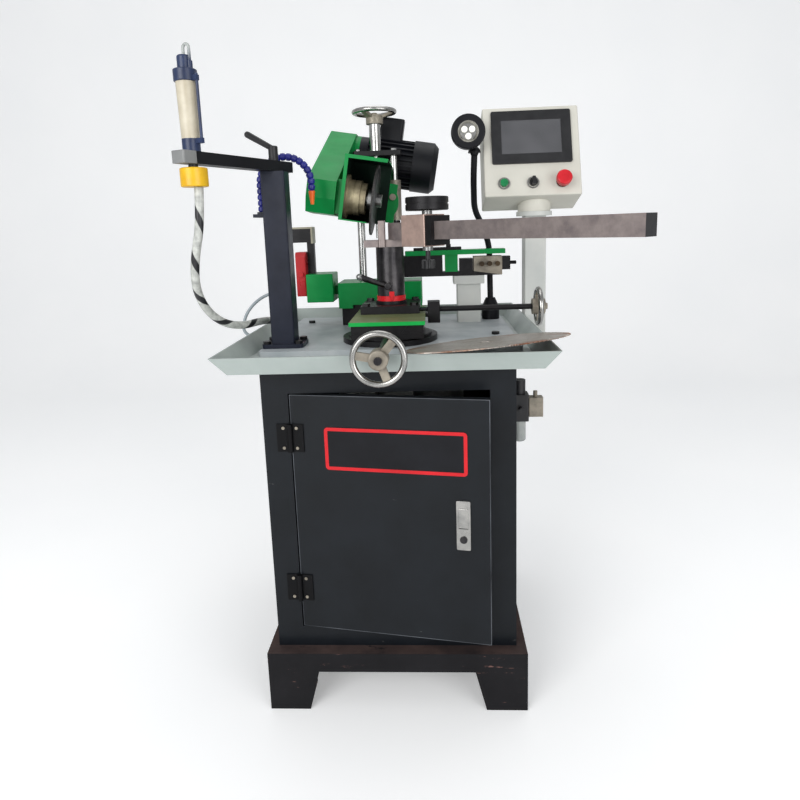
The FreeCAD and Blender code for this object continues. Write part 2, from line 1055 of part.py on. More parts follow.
# Drive panel on four posts from the rear wall
def control_panel():
    wall = cab_d / 2 - cab_sheet
    face = wall - panel_stand - panel_t
    hw = panel_w / 2
    plate = block(-hw, hw, face, face + panel_t, panel_z, panel_z + panel_h)
    pieces = []
    for x in (-hw + rail_w, hw - rail_w):
        for z in (panel_z + rail_w, panel_z + panel_h - rail_w):
            pieces.append(bar_y(x, face + panel_t, wall, z, panel_post_r))
    drive_low = panel_z + panel_h - rail_w - drive_h
    for number in range(drive_count):
        x = (number - (drive_count - 1) / 2) * drive_pitch
        drive = block(x - drive_w / 2, x + drive_w / 2, face - drive_d, face, drive_low, drive_low + drive_h)
        pieces.append(rounded(drive, rail_t, back))
    low = panel_z + rail_w
    rail = block(-terminal_w / 2, terminal_w / 2, face - rail_t, face, low, low + rail_w)
    strip = block(-terminal_w / 2, terminal_w / 2, face - terminal_d, face - rail_t,
                  low + rail_w / 2 - terminal_h / 2, low + rail_w / 2 + terminal_h / 2)
    return fuse(plate, rail, strip, *pieces)


# Filter regulator and valve on the right side of the cabinet
def air_unit():
    half = air_body_s / 2
    body_top = air_top - air_head_h
    body_low = body_top - air_body_h
    body = rounded(block(air_x - half, air_x + half, air_y - half, air_y + half, body_low, body_top),
                   air_nip_r, up)
    head = bar_z(air_x, air_y, body_top, air_top, air_head_r + air_nip_r)
    bowl = bar_z(air_x, air_y, body_low - air_bowl_h, body_low, air_bowl_r)
    bowl = bowl.makeFillet(air_nip_r, [bowl.Edges[2]])
    bracket = block(cab_right, air_x, air_y - half / 2, air_y + half / 2, body_low + half, body_top - half / 2)
    valve_left = air_x + half
    valve_mid = (body_low + body_top) / 2
    valve = block(valve_left, valve_left + air_valve_w, air_y - air_valve_d / 2, air_y + air_valve_d / 2,
                  valve_mid - air_valve_h / 2, valve_mid + air_valve_h / 2)
    valve = rounded(valve, air_nip_r / 2, up)
    nip = bar_z(valve_left + air_valve_w / 2, air_y, valve_mid, valve_mid + air_valve_h / 2 + air_nip_l, air_nip_r)
    side = bar_y(air_x, air_y - half - air_nip_l, air_y, valve_mid, air_nip_r)
    return fuse(body, head, bowl, bracket, valve, nip, side)


# Drip tray: flat floor, flared walls, a notch for the screw shaft and a drain
def tray_half(z):
    return tray_rim_w / 2 - tray_flare * (rim_z - z) / (rim_z - cab_top)


def tray_ring(z, inset):
    shift = tray_rim_w / 2 - tray_half(z) + inset
    hw = tray_rim_w / 2 - shift
    y0 = tray_front + shift
    y1 = tray_back - shift
    return outline([vec(-hw, y0, z), vec(hw, y0, z), vec(hw, y1, z), vec(-hw, y1, z)])


def drip_tray():
    outside = Part.makeLoft([tray_ring(cab_top, 0), tray_ring(rim_z, 0)], True, True)
    over = rim_z + tray_lip
    inside = Part.makeLoft([tray_ring(floor_z, tray_wall), tray_ring(over, tray_wall)], True, True)
    notch = bar_y(slide_x, tray_front - tray_flare, tray_front + 3 * tray_flare, screw_z, shaft_notch_r)
    slot = block(slide_x - shaft_notch_r, slide_x + shaft_notch_r, tray_front - tray_flare,
                 tray_front + 3 * tray_flare, screw_z, 2 * rim_z)
    pipe = bar_z(drain_x, drain_y, cab_top - drain_l, floor_z, drain_r + drain_wall)
    drain = bar_z(drain_x, drain_y, cab_top - 2 * drain_l, 2 * floor_z, drain_r)
    return cut(fuse(cut(outside, inside, notch, slot), pipe), drain)


table_w = tray_rim_w - 2 * tray_flare - 2 * table_gap
table_bolt_x = table_w / 2 - table_bolt_in


def table_bolt_places():
    left = [(-table_bolt_x, table_bolt_front), (-table_bolt_x, table_bolt_back_left)]
    right_side = [(table_bolt_x, table_bolt_front), (table_bolt_x, table_bolt_back_right)]
    return left + right_side


def mast_bolt_places():
    hw = mast_foot_w / 2 - mast_bolt_in
    hd = mast_foot_d / 2 - mast_bolt_in
    return [(mast_x + sx * hw, mast_y + sy * hd) for sx in (-1, 1) for sy in (-1, 1)]


def table_plate():
    plate = block(-table_w / 2, table_w / 2, table_front, table_back, floor_z, table_z)
    plate = rounded(plate, table_t, up)
    holes = []
    for x, y in table_bolt_places() + mast_bolt_places():
        holes.append(bar_z(x, y, floor_z, 2 * table_z, bolt_r + bolt_play))
    return cut(plate, *holes)


def table_bolts():
    bolts = [hex_bolt(x, y, table_z, table_t) for x, y in table_bolt_places()]
    bolts += [hex_bolt(x, y, table_z + mast_foot_t, mast_foot_t + table_t) for x, y in mast_bolt_places()]
    return Part.makeCompound(bolts)


# Mast: square tube on a foot plate, with the pivot pin and stud of the arm
mast_back = mast_y + mast_tube / 2


def mast():
    foot = block(mast_x - mast_foot_w / 2, mast_x + mast_foot_w / 2, mast_y - mast_foot_d / 2,
                 mast_y + mast_foot_d / 2, table_z, table_z + mast_foot_t)
    foot = rounded(foot, mast_bolt_in, up)
    half = mast_tube / 2
    tube = rounded(block(mast_x - half, mast_x + half, mast_y - half, mast_y + half, table_z, mast_top),
                   mast_corner, up)
    wall = half - mast_wall
    bore = block(mast_x - wall, mast_x + wall, mast_y - wall, mast_y + wall,
                 table_z + mast_foot_t, mast_top - mast_cap_t)
    pin = bar_z(mast_x, mast_y, mast_top, arm_z + arm_h - turn_gap, mast_pin_r)
    stud = bar_z(mast_x, mast_y, mast_top, mast_top + mast_stud_l, mast_stud_r)
    hose_x = hose_crown_x - hose_crown_r
    bracket = block(hose_x - hose_gland_r, hose_x - hose_gland_r + hose_bracket_w, mast_back - mast_wall,
                    hose_y + hose_gland_r, hose_gland_z - hose_bracket_t, hose_gland_z)
    gland = hexagon_z(hose_x, hose_y, hose_gland_z, hose_gland_z + link_neck_r, 2 * hose_gland_r)
    holes = [bar_z(x, y, table_z, 2 * table_z, bolt_r + bolt_play) for x, y in mast_bolt_places()]
    return fuse(cut(fuse(foot, tube), bore, *holes), pin, stud, bracket, gland)


def swung(shape):
    # Turns a piece drawn along +X from the mast to the arm's rest angle
    turned = shape.copy()
    turned.rotate(vec(mast_x, mast_y, 0), up, arm_turn)
    return turned


def swing_arm():
    half = arm_w / 2
    bar = block(mast_x - arm_back, mast_x + arm_dark, mast_y - half, mast_y + half, arm_z, arm_z + arm_h)
    end_x = mast_x + arm_dark
    grown = half + arm_end_step
    end = block(end_x, end_x + arm_end_l, mast_y - grown, mast_y + grown, arm_z, arm_z + arm_h)
    end = rounded(end, mast_corner, up)
    bore = bar_z(mast_x, mast_y, arm_z - arm_h, arm_z + 2 * arm_h, mast_pin_r + run_fit)
    return swung(cut(fuse(bar, end), bore))


def arm_lever():
    seat = arm_z + arm_h + turn_gap
    hub = bar_z(mast_x, mast_y, seat, seat + lever_hub_h, lever_hub_r)
    hub = hub.makeFillet(lever_root_r / 2, [hub.Edges[0]])
    start = vec(mast_x, mast_y, seat + lever_hub_h - lever_root_r)
    turn = math.radians(lever_turn)
    tip = start + vec(lever_l * math.cos(turn), lever_l * math.sin(turn), lever_rise)
    grip = cone_between(start, tip, lever_root_r, lever_tip_r)
    knob = Part.makeSphere(lever_tip_r, tip)
    bore = bar_z(mast_x, mast_y, seat - lever_hub_h, mast_top + mast_stud_l + turn_gap, mast_stud_r + run_fit)
    return cut(fuse(hub, grip, knob), bore)


# Mist tube on the arm and the yellow swivel cap below it
def mist_tube():
    x = mast_x + arm_reach
    foot_z = arm_z + arm_h
    tube_z = foot_z + mist_foot_h
    cap_z = tube_z + mist_tube_h
    neck_z = cap_z + mist_cap_h
    top = neck_z + mist_neck_h
    foot = bar_z(x, mast_y, foot_z, tube_z, mist_foot_r)
    tube = cone_between(vec(x, mast_y, tube_z), vec(x, mast_y, cap_z), mist_low_r, mist_high_r)
    cap = bar_z(x, mast_y, cap_z, neck_z, mist_cap_r)
    cap = cap.makeFillet(mist_ear_w / 4, [cap.Edges[0], cap.Edges[2]])
    neck = bar_z(x, mast_y, neck_z, top, mist_neck_r)
    neck = neck.makeFillet(mist_ear_w / 2, [neck.Edges[0]])
    side = mist_cap_r + mist_ear_out
    ears = []
    for z in (tube_z - mist_ear_h, cap_z):
        ears.append(block(x - mist_ear_w / 2, x + mist_ear_w / 2, mast_y, mast_y + side, z, z + mist_ear_h))
    pipe = bar_z(x, mast_y + side - mist_loop_r, tube_z - mist_ear_h, neck_z - mist_ear_h, mist_loop_r)
    loop = Part.makeTorus(mist_loop_w / 2, mist_loop_r, vec(x, mast_y + mist_loop_w / 2, top + mist_loop_up), right)
    upper = block(x - mist_loop_w, x + mist_loop_w, mast_y - mist_loop_w, mast_y + 2 * mist_loop_w,
                  top + mist_loop_up, top + 3 * mist_loop_w)
    legs = [bar_z(x, mast_y, neck_z, top + mist_loop_up, mist_loop_r)]
    legs.append(bar_z(x, mast_y + mist_loop_w, neck_z, top + mist_loop_up, mist_loop_r))
    port = bar_z(x, mast_y + mist_loop_w, neck_z, neck_z + mist_port_l, mist_port_r)
    return swung(fuse(foot, tube, cap, neck, pipe, loop.common(upper), port, *ears, *legs))


def yellow_cap():
    x = mast_x + arm_reach
    stem = bar_z(x, mast_y, arm_z - yellow_stem_h, arm_z, yellow_stem_r)
    body = bar_z(x, mast_y, arm_z - yellow_stem_h - yellow_h, arm_z - yellow_stem_h, yellow_r)
    body = body.makeFillet(yellow_edge, [body.Edges[0], body.Edges[2]])
    return swung(fuse(stem, body))


# Coolant hose: ball and socket links up, over an arch and down to the nozzle
def hose_point(run):
    # Place and heading on the hose, a given run above its gland
    rise = hose_crown_z - hose_gland_z
    arch = math.radians(hose_sweep) * hose_crown_r
    if run < rise:
        return vec(hose_crown_x - hose_crown_r, hose_y, hose_gland_z + run), vec(0, 0, 1)
    if run < rise + arch:
        turn = math.pi - (run - rise) / hose_crown_r
        spot = vec(hose_crown_x + hose_crown_r * math.cos(turn), hose_y, hose_crown_z + hose_crown_r * math.sin(turn))
        return spot, vec(math.sin(turn), 0, -math.cos(turn))
    return vec(hose_crown_x + hose_crown_r, hose_y, hose_crown_z - (run - rise - arch)), vec(0, 0, -1)


def hose_ring(run, radius):
    spot, way = hose_point(run)
    ring = Part.Wire(Part.makeCircle(radius))
    ring.Placement = FreeCAD.Placement(spot, FreeCAD.Rotation(back, way.cross(back), way, "ZXY"))
    return ring


def coolant_hose():
    start = link_neck_r
    length = hose_crown_z - hose_gland_z + math.radians(hose_sweep) * hose_crown_r + hose_drop
    count = int((length - start) / link_pitch)
    pitch = (length - start) / count
    rings = []
    for number in range(count):
        root = start + number * pitch
        for share, radius in link_shape:
            rings.append(hose_ring(root + share * pitch, radius))
    rings.append(hose_ring(length, link_neck_r))
    rings.append(hose_ring(length + link_neck_r / 2, nozzle_root_r))
    rings.append(hose_ring(length + nozzle_l, nozzle_tip_r))
    return Part.makeLoft(rings, True, True)


# Cords: straight runs joined by tangent arcs
def cord_spine(points):
    spots = [vec(*p) for p in points]
    edges = []
    start = spots[0]
    for before, corner, after in zip(spots, spots[1:], spots[2:]):
        come = (corner - before).normalize()
        leave = (after - corner).normalize()
        turn = come.getAngle(leave)
        trim = cord_share * min((corner - before).Length, (after - corner).Length)
        radius = trim / math.tan(turn / 2)
        enter = corner - come * trim
        exit_spot = corner + leave * trim
        inward = (leave - come).normalize()
        middle = corner + inward * (radius / math.cos(turn / 2) - radius)
        edges.append(Part.makeLine(start, enter))
        edges.append(Part.Arc(enter, middle, exit_spot).toShape())
        start = exit_spot
    edges.append(Part.makeLine(start, spots[-1]))
    return Part.Wire(edges)


def cord(points, radius):
    spine = cord_spine(points)
    heading = vec(*points[1]) - vec(*points[0])
    ring = Part.Wire(Part.makeCircle(radius, vec(*points[0]), heading))
    tube = spine.makePipeShell([ring], True, False)
    radii = [round(e.Curve.Radius, 1) for e in spine.Edges if hasattr(e.Curve, "Radius")]
    print("cord radii", radii, "volume share", round(tube.Volume / (math.pi * radius ** 2 * spine.Length), 4))
    return tube


# Blade holder: swivel base with its dovetail, and the screw tunnel through it
def tail_half(z):
    return tail_low_w / 2 + (tail_high_w - tail_low_w) / 2 * (z - tail_z) / tail_h


def slide_base():
    disc = bar_z(slide_x, swivel_y, table_z, slide_z - swivel_lip_h, swivel_r)
    lip = bar_z(slide_x, swivel_y, table_z, slide_z, swivel_lip_r)
    half = lower_w / 2
    lower = block(slide_x - half, slide_x + half, lower_front, lower_back, slide_z, tail_z)
    low = tail_low_w / 2
    high = tail_high_w / 2
    tail = prism_y([(slide_x - low, tail_z), (slide_x + low, tail_z),
                    (slide_x + high, tail_z + tail_h), (slide_x - high, tail_z + tail_h)], lower_front, lower_back)
    bush = bar_y(slide_x, lower_front, lower_back, screw_z, shaft_r + run_fit)
    tunnel = bar_y(slide_x, lower_front + screw_bush_l, lower_back, screw_z, screw_bore_r)
    reach = nut_l / 2 + nut_play
    slot = block(slide_x - nut_w / 2 - nut_play, slide_x + nut_w / 2 + nut_play,
                 nut_y - reach - cross_in, nut_y + reach, slide_z, 2 * tail_z)
    return cut(fuse(disc, lip, lower, tail), bush, tunnel, slot)


def cross_slide():
    half = cross_w / 2
    plate = block(slide_x - half, slide_x + half, cross_front, cross_back, cross_z, cross_top)
    pieces = []
    outer = lower_w / 2
    low = tail_z + cross_lift
    for side in (-1, 1):
        inner_low = tail_half(low) + 2 * slide_fit
        inner_high = tail_half(cross_z) + 2 * slide_fit
        rail = [(slide_x + side * inner_low, low), (slide_x + side * outer, low),
                (slide_x + side * outer, cross_z), (slide_x + side * inner_high, cross_z)]
        pieces.append(prism_y(rail, rail_front, rail_back))
    pieces.append(block(slide_x - nut_w / 2, slide_x + nut_w / 2, nut_y - nut_l / 2, nut_y + nut_l / 2,
                        slide_z + nut_play, cross_z))
    edge = slide_x + half
    deep = sblock_d / 2
    pieces.append(block(edge, edge + sblock_gap + sblock_w, cross_screw_y - deep, cross_screw_y + deep,
                        cross_z, cross_top))
    stand = block(edge + sblock_gap, edge + sblock_gap + sblock_w, cross_screw_y - deep, cross_screw_y + deep,
                  sblock_low, sblock_high)
    pieces.append(rounded(stand, mast_corner, up))
    groove = block(slide_x - 2 * half, slide_x + 2 * half, key_y - key_w / 2, key_y + key_w / 2,
                   cross_top - key_h, 2 * cross_top)
    nut_bore = bar_y(slide_x, nut_y - nut_l, nut_y + nut_l, screw_z, screw_r + turn_gap)
    shaft_bore = bar_x(edge, edge + 2 * sblock_w, cross_screw_y, cross_screw_z, cross_shaft_r + run_fit)
    return cut(fuse(plate, *pieces), groove, nut_bore, shaft_bore)


# Handwheels: rolled rim, three flat spokes to a hub, drawn on +Z
def handwheel(rim_radius, hub_r, hub_h, dish, turn):
    rim = Part.makeTorus(rim_radius - wheel_rim_r, wheel_rim_r, vec(0, 0, dish), up)
    hub = bar_z(0, 0, 0, hub_h, hub_r)
    hub = hub.makeFillet(wheel_rim_r / 2, [hub.Edges[0]])
    cap = bar_z(0, 0, hub_h, hub_h + wheel_bolt_h, wheel_bolt_r)
    middle = hub_h / 2
    run = rim_radius - wheel_rim_r
    spokes = []
    for number in range(wheel_spokes):
        side = [(0, middle - wheel_spoke_t / 2), (0, middle + wheel_spoke_t / 2),
                (run, dish + wheel_spoke_t / 2), (run, dish - wheel_spoke_t / 2)]
        spoke = prism_y(side, -wheel_spoke_w / 2, wheel_spoke_w / 2)
        spoke.rotate(vec(0, 0, 0), up, turn + 360.0 * number / wheel_spokes)
        spokes.append(spoke)
    return fuse(rim, hub, cap, *spokes)


def front_handwheel():
    wheel = handwheel(wheel_r, wheel_hub_r, wheel_hub_h, wheel_dish, front_wheel_turn)
    wheel.rotate(vec(0, 0, 0), right, 90)
    hub_y = front_wheel_y + wheel_dish
    wheel.translate(vec(slide_x, hub_y, screw_z))
    shaft = bar_y(slide_x, hub_y - wheel_hub_h / 2, lower_front + screw_bush_l, screw_z, shaft_r)
    screw = bar_y(slide_x, lower_front, screw_back, screw_z, screw_r)
    return fuse(wheel, shaft, screw)


def side_handwheel():
    wheel = handwheel(side_wheel_r, wheel_hub_r, wheel_hub_h, wheel_dish, 0)
    wheel.rotate(vec(0, 0, 0), back, 90)
    hub_x = side_wheel_x - wheel_dish
    wheel.translate(vec(hub_x, cross_screw_y, cross_screw_z))
    block_left = slide_x + cross_w / 2 + sblock_gap
    shaft = bar_x(block_left, hub_x + wheel_hub_h / 2, cross_screw_y, cross_screw_z, cross_shaft_r)
    plate_right = slide_x + cbase_w / 2
    screw = bar_x(plate_right - cross_screw_in, block_left + sblock_w, cross_screw_y, cross_screw_z, cross_screw_r)
    return fuse(wheel, shaft, screw)


# Column base on the cross slide, its scale ring and the swivel column
def column_base():
    half = cbase_w / 2
    plate = block(slide_x - half, slide_x + half, cbase_front, cbase_front + cbase_d, cbase_z, boss_z)
    plate = rounded(plate, mast_corner, up)
    boss = bar_z(slide_x, column_y, boss_z, ring_z, boss_r)
    key = block(slide_x - half, slide_x + half, key_y - key_w / 2 + slide_fit, key_y + key_w / 2 - slide_fit,
                cross_top - key_h + cross_lift, cbase_z)
    bolts = []
    reach = half - cbase_bolt_in
    for x in (slide_x - reach, slide_x + reach):
        for y in (cbase_front + cbase_bolt_in, cbase_front + cbase_d - cbase_bolt_in):
            bolts.append(hexagon_z(x, y, boss_z, boss_z + bolt_head, bolt_af))
    socket = bar_z(slide_x, column_y, cbase_z + key_h, ring_z, spigot_r + run_fit)
    screw_bore = bar_x(slide_x + half - cross_bore_l, slide_x + half, cross_screw_y, cross_screw_z,
                       cross_screw_r + turn_gap)
    return cut(fuse(plate, boss, key, *bolts), socket, screw_bore)


def scale_ring():
    ring = cut(bar_z(slide_x, column_y, ring_z, ring_z + ring_h, ring_r),
               bar_z(slide_x, column_y, ring_z, ring_z + ring_h, ring_in_r))
    ticks = []
    for number in range(ring_tick_count):
        tick = block(slide_x + ring_r - ring_tick_d, slide_x + 2 * ring_r, column_y - ring_tick_w / 2,
                     column_y + ring_tick_w / 2, ring_z + ring_h - ring_tick_h, ring_z + ring_h)
        tick.rotate(vec(slide_x, column_y, 0), up, 360.0 * number / ring_tick_count)
        ticks.append(tick)
    return cut(ring, *ticks)


clever_seat = column_y - column_r


def swivel_column():
    spigot = bar_z(slide_x, column_y, cbase_z + key_h + turn_gap, column_z, spigot_r)
    collar = bar_z(slide_x, column_y, ring_z + turn_gap, column_z, ring_in_r - turn_gap)
    body = bar_z(slide_x, column_y, column_z, column_top, column_r)
    tip_z = column_z - ring_h
    left = slide_x + pointer_x - pointer_w / 2
    arrow = [(left, column_z + pointer_h - ring_h), (left + pointer_w, column_z + pointer_h - ring_h),
             (left + pointer_w / 2, tip_z)]
    front = column_y - ring_r - turn_gap - pointer_t
    pointer = prism_y(arrow, front, front + pointer_t)
    pad = block(left, left + pointer_w, front, column_y, column_z, column_z + pointer_h - ring_h)
    bore = bar_y(clever_x, clever_seat - column_r, clever_seat + clever_stud_l + turn_gap, clever_z,
                 clever_stud_r + run_fit)
    return cut(fuse(spigot, collar, body, pointer, pad), bore)


def column_lever():
    stud = bar_y(clever_x, clever_seat - clever_hub_l, clever_seat + clever_stud_l, clever_z, clever_stud_r)
    hub_back = clever_seat - turn_gap
    hub = bar_y(clever_x, hub_back - clever_hub_l, hub_back, clever_z, clever_hub_r)
    hub = hub.makeFillet(clever_root_r / 3, [hub.Edges[0], hub.Edges[2]])
    middle = vec(clever_x, hub_back - clever_hub_l / 2, clever_z)
    tip = middle + vec(-clever_l, 0, clever_rise)
    return fuse(hub, stud, cone_between(middle, tip, clever_root_r, clever_tip_r), Part.makeSphere(clever_tip_r, tip))


# Bar head on the column, and the square bar that carries the clamp
bar_low = column_top + bhead_t
bar_mid = bar_low + bar_s / 2


def barred(shape):
    # Turns a piece drawn along +X from the column to the bar's rest angle
    turned = shape.copy()
    turned.rotate(vec(slide_x, column_y, 0), up, bar_turn)
    return turned


def bar_head():
    half = bhead_d / 2
    foot = block(bhead_left, bhead_right, column_y - half, column_y + half, column_top, bar_low)
    foot = rounded(foot, mast_corner, up)
    leg = block(bleg_left, bleg_left + bleg_t, bleg_front, bleg_front + bleg_d, column_top, bleg_top)
    return fuse(foot, rounded(leg, mast_corner, up))


def square_bar():
    half = bar_s / 2
    start = slide_x + bar_start
    end = start + bar_len
    tube = block(start, end, column_y - half, column_y + half, bar_low, bar_low + bar_s)
    inner = half - bar_wall
    bore = block(start + bar_cap_t, end - bar_cap_t, column_y - inner, column_y + inner,
                 bar_low + bar_wall, bar_low + bar_s - bar_wall)
    screws = []
    for number in range(bar_screw_count):
        x = start + bar_screw_pitch * (number + 0.5)
        screws.append(bar_z(x, column_y, bar_low + bar_s, bar_low + bar_s + bar_screw_head, bar_screw_head_r))
    return barred(fuse(cut(tube, bore), *screws))


carriage_low = bar_mid - carriage_h / 2
collar_top = bar_mid + carriage_h / 2 + collar_h
arbor_x = slide_x + carriage_from + arbor_at


def bar_carriage():
    start = slide_x + carriage_from
    half = carriage_w / 2
    body = block(start, start + carriage_l, column_y - half, column_y + half, carriage_low, carriage_low + carriage_h)
    body = rounded(body, carriage_edge, right, up)
    inner = half - carriage_plate_in
    plate = block(start + carriage_l, start + carriage_l + carriage_plate_t, column_y - inner, column_y + inner,
                  carriage_low + carriage_plate_in, carriage_low + carriage_h - carriage_plate_in)
    collar = bar_z(arbor_x, column_y, bar_mid, collar_top, collar_r)
    arbor = bar_z(arbor_x, column_y, bar_mid, collar_top + arbor_h, arbor_r)
    boss = bar_z(arbor_x, column_y, carriage_low - knob_boss_h, bar_mid, collar_r)
    play = bar_s / 2 + slide_fit
    way = block(start - carriage_l, start + 2 * carriage_l, column_y - play, column_y + play,
                bar_mid - play, bar_mid + play)
    stem_bore = bar_z(arbor_x, column_y, carriage_low - 2 * knob_boss_h, carriage_low + knob_stem_in + turn_gap,
                      knob_stem_r + run_fit)
    return barred(cut(fuse(body, plate, collar, arbor, boss), way, stem_bore))


def clamp_disc():
    low = collar_top + turn_gap
    disc = bar_z(arbor_x, column_y, low, low + disc_h, disc_r)
    disc = disc.makeChamfer(disc_groove, [disc.Edges[0], disc.Edges[2]])
    middle = low + disc_h / 2
    groove = cut(bar_z(arbor_x, column_y, middle - disc_groove_h / 2, middle + disc_groove_h / 2, 2 * disc_r),
                 bar_z(arbor_x, column_y, low, low + disc_h, disc_r - disc_groove))
    bore = bar_z(arbor_x, column_y, low - disc_h, low + 2 * disc_h, arbor_r + run_fit)
    return barred(cut(disc, groove, bore))


def star_knob():
    boss_low = carriage_low - knob_boss_h
    knob_top = boss_low - knob_stem_l
    stem = bar_z(arbor_x, column_y, knob_top - knob_h / 2, carriage_low + knob_stem_in, knob_stem_r)
    ring = knob_r - knob_lobe_r
    core = bar_z(arbor_x, column_y, knob_top - knob_h, knob_top, ring)
    lobes = []
    for number in range(knob_lobes):
        turn = 2 * math.pi * number / knob_lobes
        lobes.append(bar_z(arbor_x + ring * math.cos(turn), column_y + ring * math.sin(turn),
                           knob_top - knob_h, knob_top, knob_lobe_r))
    return barred(fuse(core, stem, *lobes))


# Grinding head stand: base with two ways, saddle, lift frame
def way_block(left, play, height):
    return block(left - play, left + way_w + play, hbase_front, hbase_back, way_z, way_z + height)


way_lefts = (hbase_left + way_in, hbase_right - way_in - way_w)


def head_base():
    body = block(hbase_left, hbase_right, hbase_front, hbase_back, table_z, way_z)
    ways = [way_block(left, 0, way_h) for left in way_lefts]
    return fuse(rounded(body, mast_corner, up), *ways)


def rod_places():
    return [lift_x - rod_off, lift_x + rod_off]


def head_saddle():
    body = rounded(block(saddle_left, saddle_right, saddle_front, saddle_back, saddle_z, saddle_top), mast_corner, up)
    box = block(sbox_left, sbox_right, sbox_front, sbox_back, sbox_low, sbox_high)
    box = rounded(box, sbox_edge, right, back, up)
    arm = block(sbox_right - sbox_edge, saddle_left + sbox_edge, sbox_arm_front, sbox_back - sbox_edge,
                sbox_arm_low, sbox_arm_high)
    leg_front = feed_y + (feed_d - feed_leg_d) / 2
    leg = block(feed_right - feed_leg_l, feed_right, leg_front, leg_front + feed_leg_d, sbox_high - sbox_edge, feed_low)
    feed = block(feed_left, feed_right, feed_y, feed_y + feed_d, feed_low, feed_low + feed_h)
    over = feed_plate_over / 2
    ends = []
    for x in (feed_left, feed_right - feed_plate_w):
        ends.append(block(x, x + feed_plate_w, feed_y - over, feed_y + feed_d + over, feed_low - over,
                          feed_low + feed_h + over))
    lid = block(feed_left, feed_right, feed_y, feed_y + feed_d, feed_low + feed_h, feed_low + feed_h + feed_top_t)
    hollows = []
    for left in way_lefts:
        hollows.append(block(left - slide_fit, left + way_w + slide_fit, 0, 2 * hbase_back, saddle_z,
                             way_z + way_h + saddle_lift))
    for x in rod_places():
        hollows.append(bar_z(x, guide_y, saddle_top - rod_seat, saddle_top, rod_r))
    return cut(fuse(body, box, arm, leg, feed, lid, *ends), *hollows)


def switch_box():
    high = sw_low + sw_h
    side = [(sw_y, sw_low), (sw_y + sw_d, sw_low), (sw_y + sw_d, high), (sw_y + sw_slope, high), (sw_y, high - sw_slope)]
    body = rounded(prism_x(side, sbox_left - sw_w, sbox_left), sw_edge, up)
    knob = bar_y(sbox_left - sw_w / 2, sw_y - sw_knob_h, sw_y, sw_low + sw_h / 2, sw_knob_r)
    return fuse(body, knob)


def lift_frame():
    plate = block(lift_x - top_left, lift_x + top_right, guide_y - top_d / 2, guide_y + top_d / 2, top_z, top_z + top_t)
    plate = rounded(plate, top_edge, up)
    pieces = []
    for x in rod_places():
        pieces.append(bar_z(x, guide_y, saddle_top - rod_seat, top_z, rod_r))
        pieces.append(hexagon_z(x, guide_y, top_z + top_t, top_z + top_t + top_nut_h, 2 * top_nut_r))
    sleeve = bar_z(lift_x, guide_y, top_z, top_z + top_t + sleeve_h, sleeve_r)
    bore = bar_z(lift_x, guide_y, saddle_top, 2 * top_z, lift_shaft_r + run_fit)
    return cut(fuse(plate, sleeve, *pieces), bore)


def top_handwheel():
    hub_z = top_z + top_t + sleeve_h + turn_gap
    wheel = handwheel(top_wheel_r, top_hub_r, top_hub_h, top_wheel_up, 0)
    wheel.translate(vec(lift_x, guide_y, hub_z))
    screw = bar_z(lift_x, guide_y, top_z - lift_screw_l, hub_z + top_hub_h / 2, lift_shaft_r)
    return fuse(wheel, screw)


def head_slide():
    pieces = []
    holes = []
    for x in rod_places():
        pieces.append(bar_z(x, guide_y, pivot_z + bush_low, pivot_z + bush_high, bush_r))
        holes.append(bar_z(x, guide_y, saddle_top, top_z, rod_r + run_fit))
    half = slide_web_d / 2
    web = block(lift_x - rod_off, lift_x + rod_off, guide_y - half, guide_y + half,
                pivot_z + bush_low + slide_web_in, pivot_z + bush_high - slide_web_in)
    nut = bar_z(lift_x, guide_y, pivot_z + bush_low, pivot_z + bush_high, slide_nut_r)
    flange = bar_y(pivot_x, flange_y, guide_y, pivot_z, slide_flange_r)
    holes.append(bar_z(lift_x, guide_y, saddle_top, top_z, lift_shaft_r + turn_gap))
    holes.append(bar_y(pivot_x, flange_y, flange_y + pivot_pin_l, pivot_z, pivot_pin_r + run_fit))
    return cut(fuse(web, nut, flange, *pieces), *holes)


# Tilted head: drawn square about the pivot, then laid over
def tilted(shape):
    moved = shape.copy()
    moved.translate(vec(pivot_x, 0, pivot_z))
    moved.rotate(vec(pivot_x, 0, pivot_z), back, tilt)
    return moved


side_plate_left = side_plate_right - side_plate_t


def head_plate():
    web = block(web_left, web_right, web_y, web_y + swivel_plate_t, -web_half, web_half)
    disc = bar_y(0, web_y, web_y + swivel_plate_t, 0, swivel_disc_r)
    pin = bar_y(0, web_y, web_y + swivel_plate_t + pivot_pin_l, 0, pivot_pin_r)
    side = [(splate_front, -splate_low), (splate_neck_front, -splate_low), (splate_back, splate_back_low),
            (splate_back, motor_up), (splate_neck_back, motor_up), (splate_neck_back, splate_neck_top),
            (splate_neck_front, splate_neck_top), (splate_neck_front, splate_high), (splate_front, splate_high)]
    cheek = prism_x(side, side_plate_left, side_plate_right)
    seat = bar_x(side_plate_left, side_plate_right, motor_y, motor_up, bell_r)
    bolt = bar_y(tilt_bolt_x, web_y - tilt_bolt_head, web_y, tilt_bolt_up, tilt_bolt_head_r)
    bores = [bar_x(2 * guard_left, 0, spindle_y, 0, shaft_spin_r + turn_gap)]
    bores.append(bar_x(2 * guard_left, 0, motor_y, motor_up, motor_shaft_r + turn_gap))
    return tilted(cut(fuse(web, disc, pin, cheek, seat, bolt), *bores))


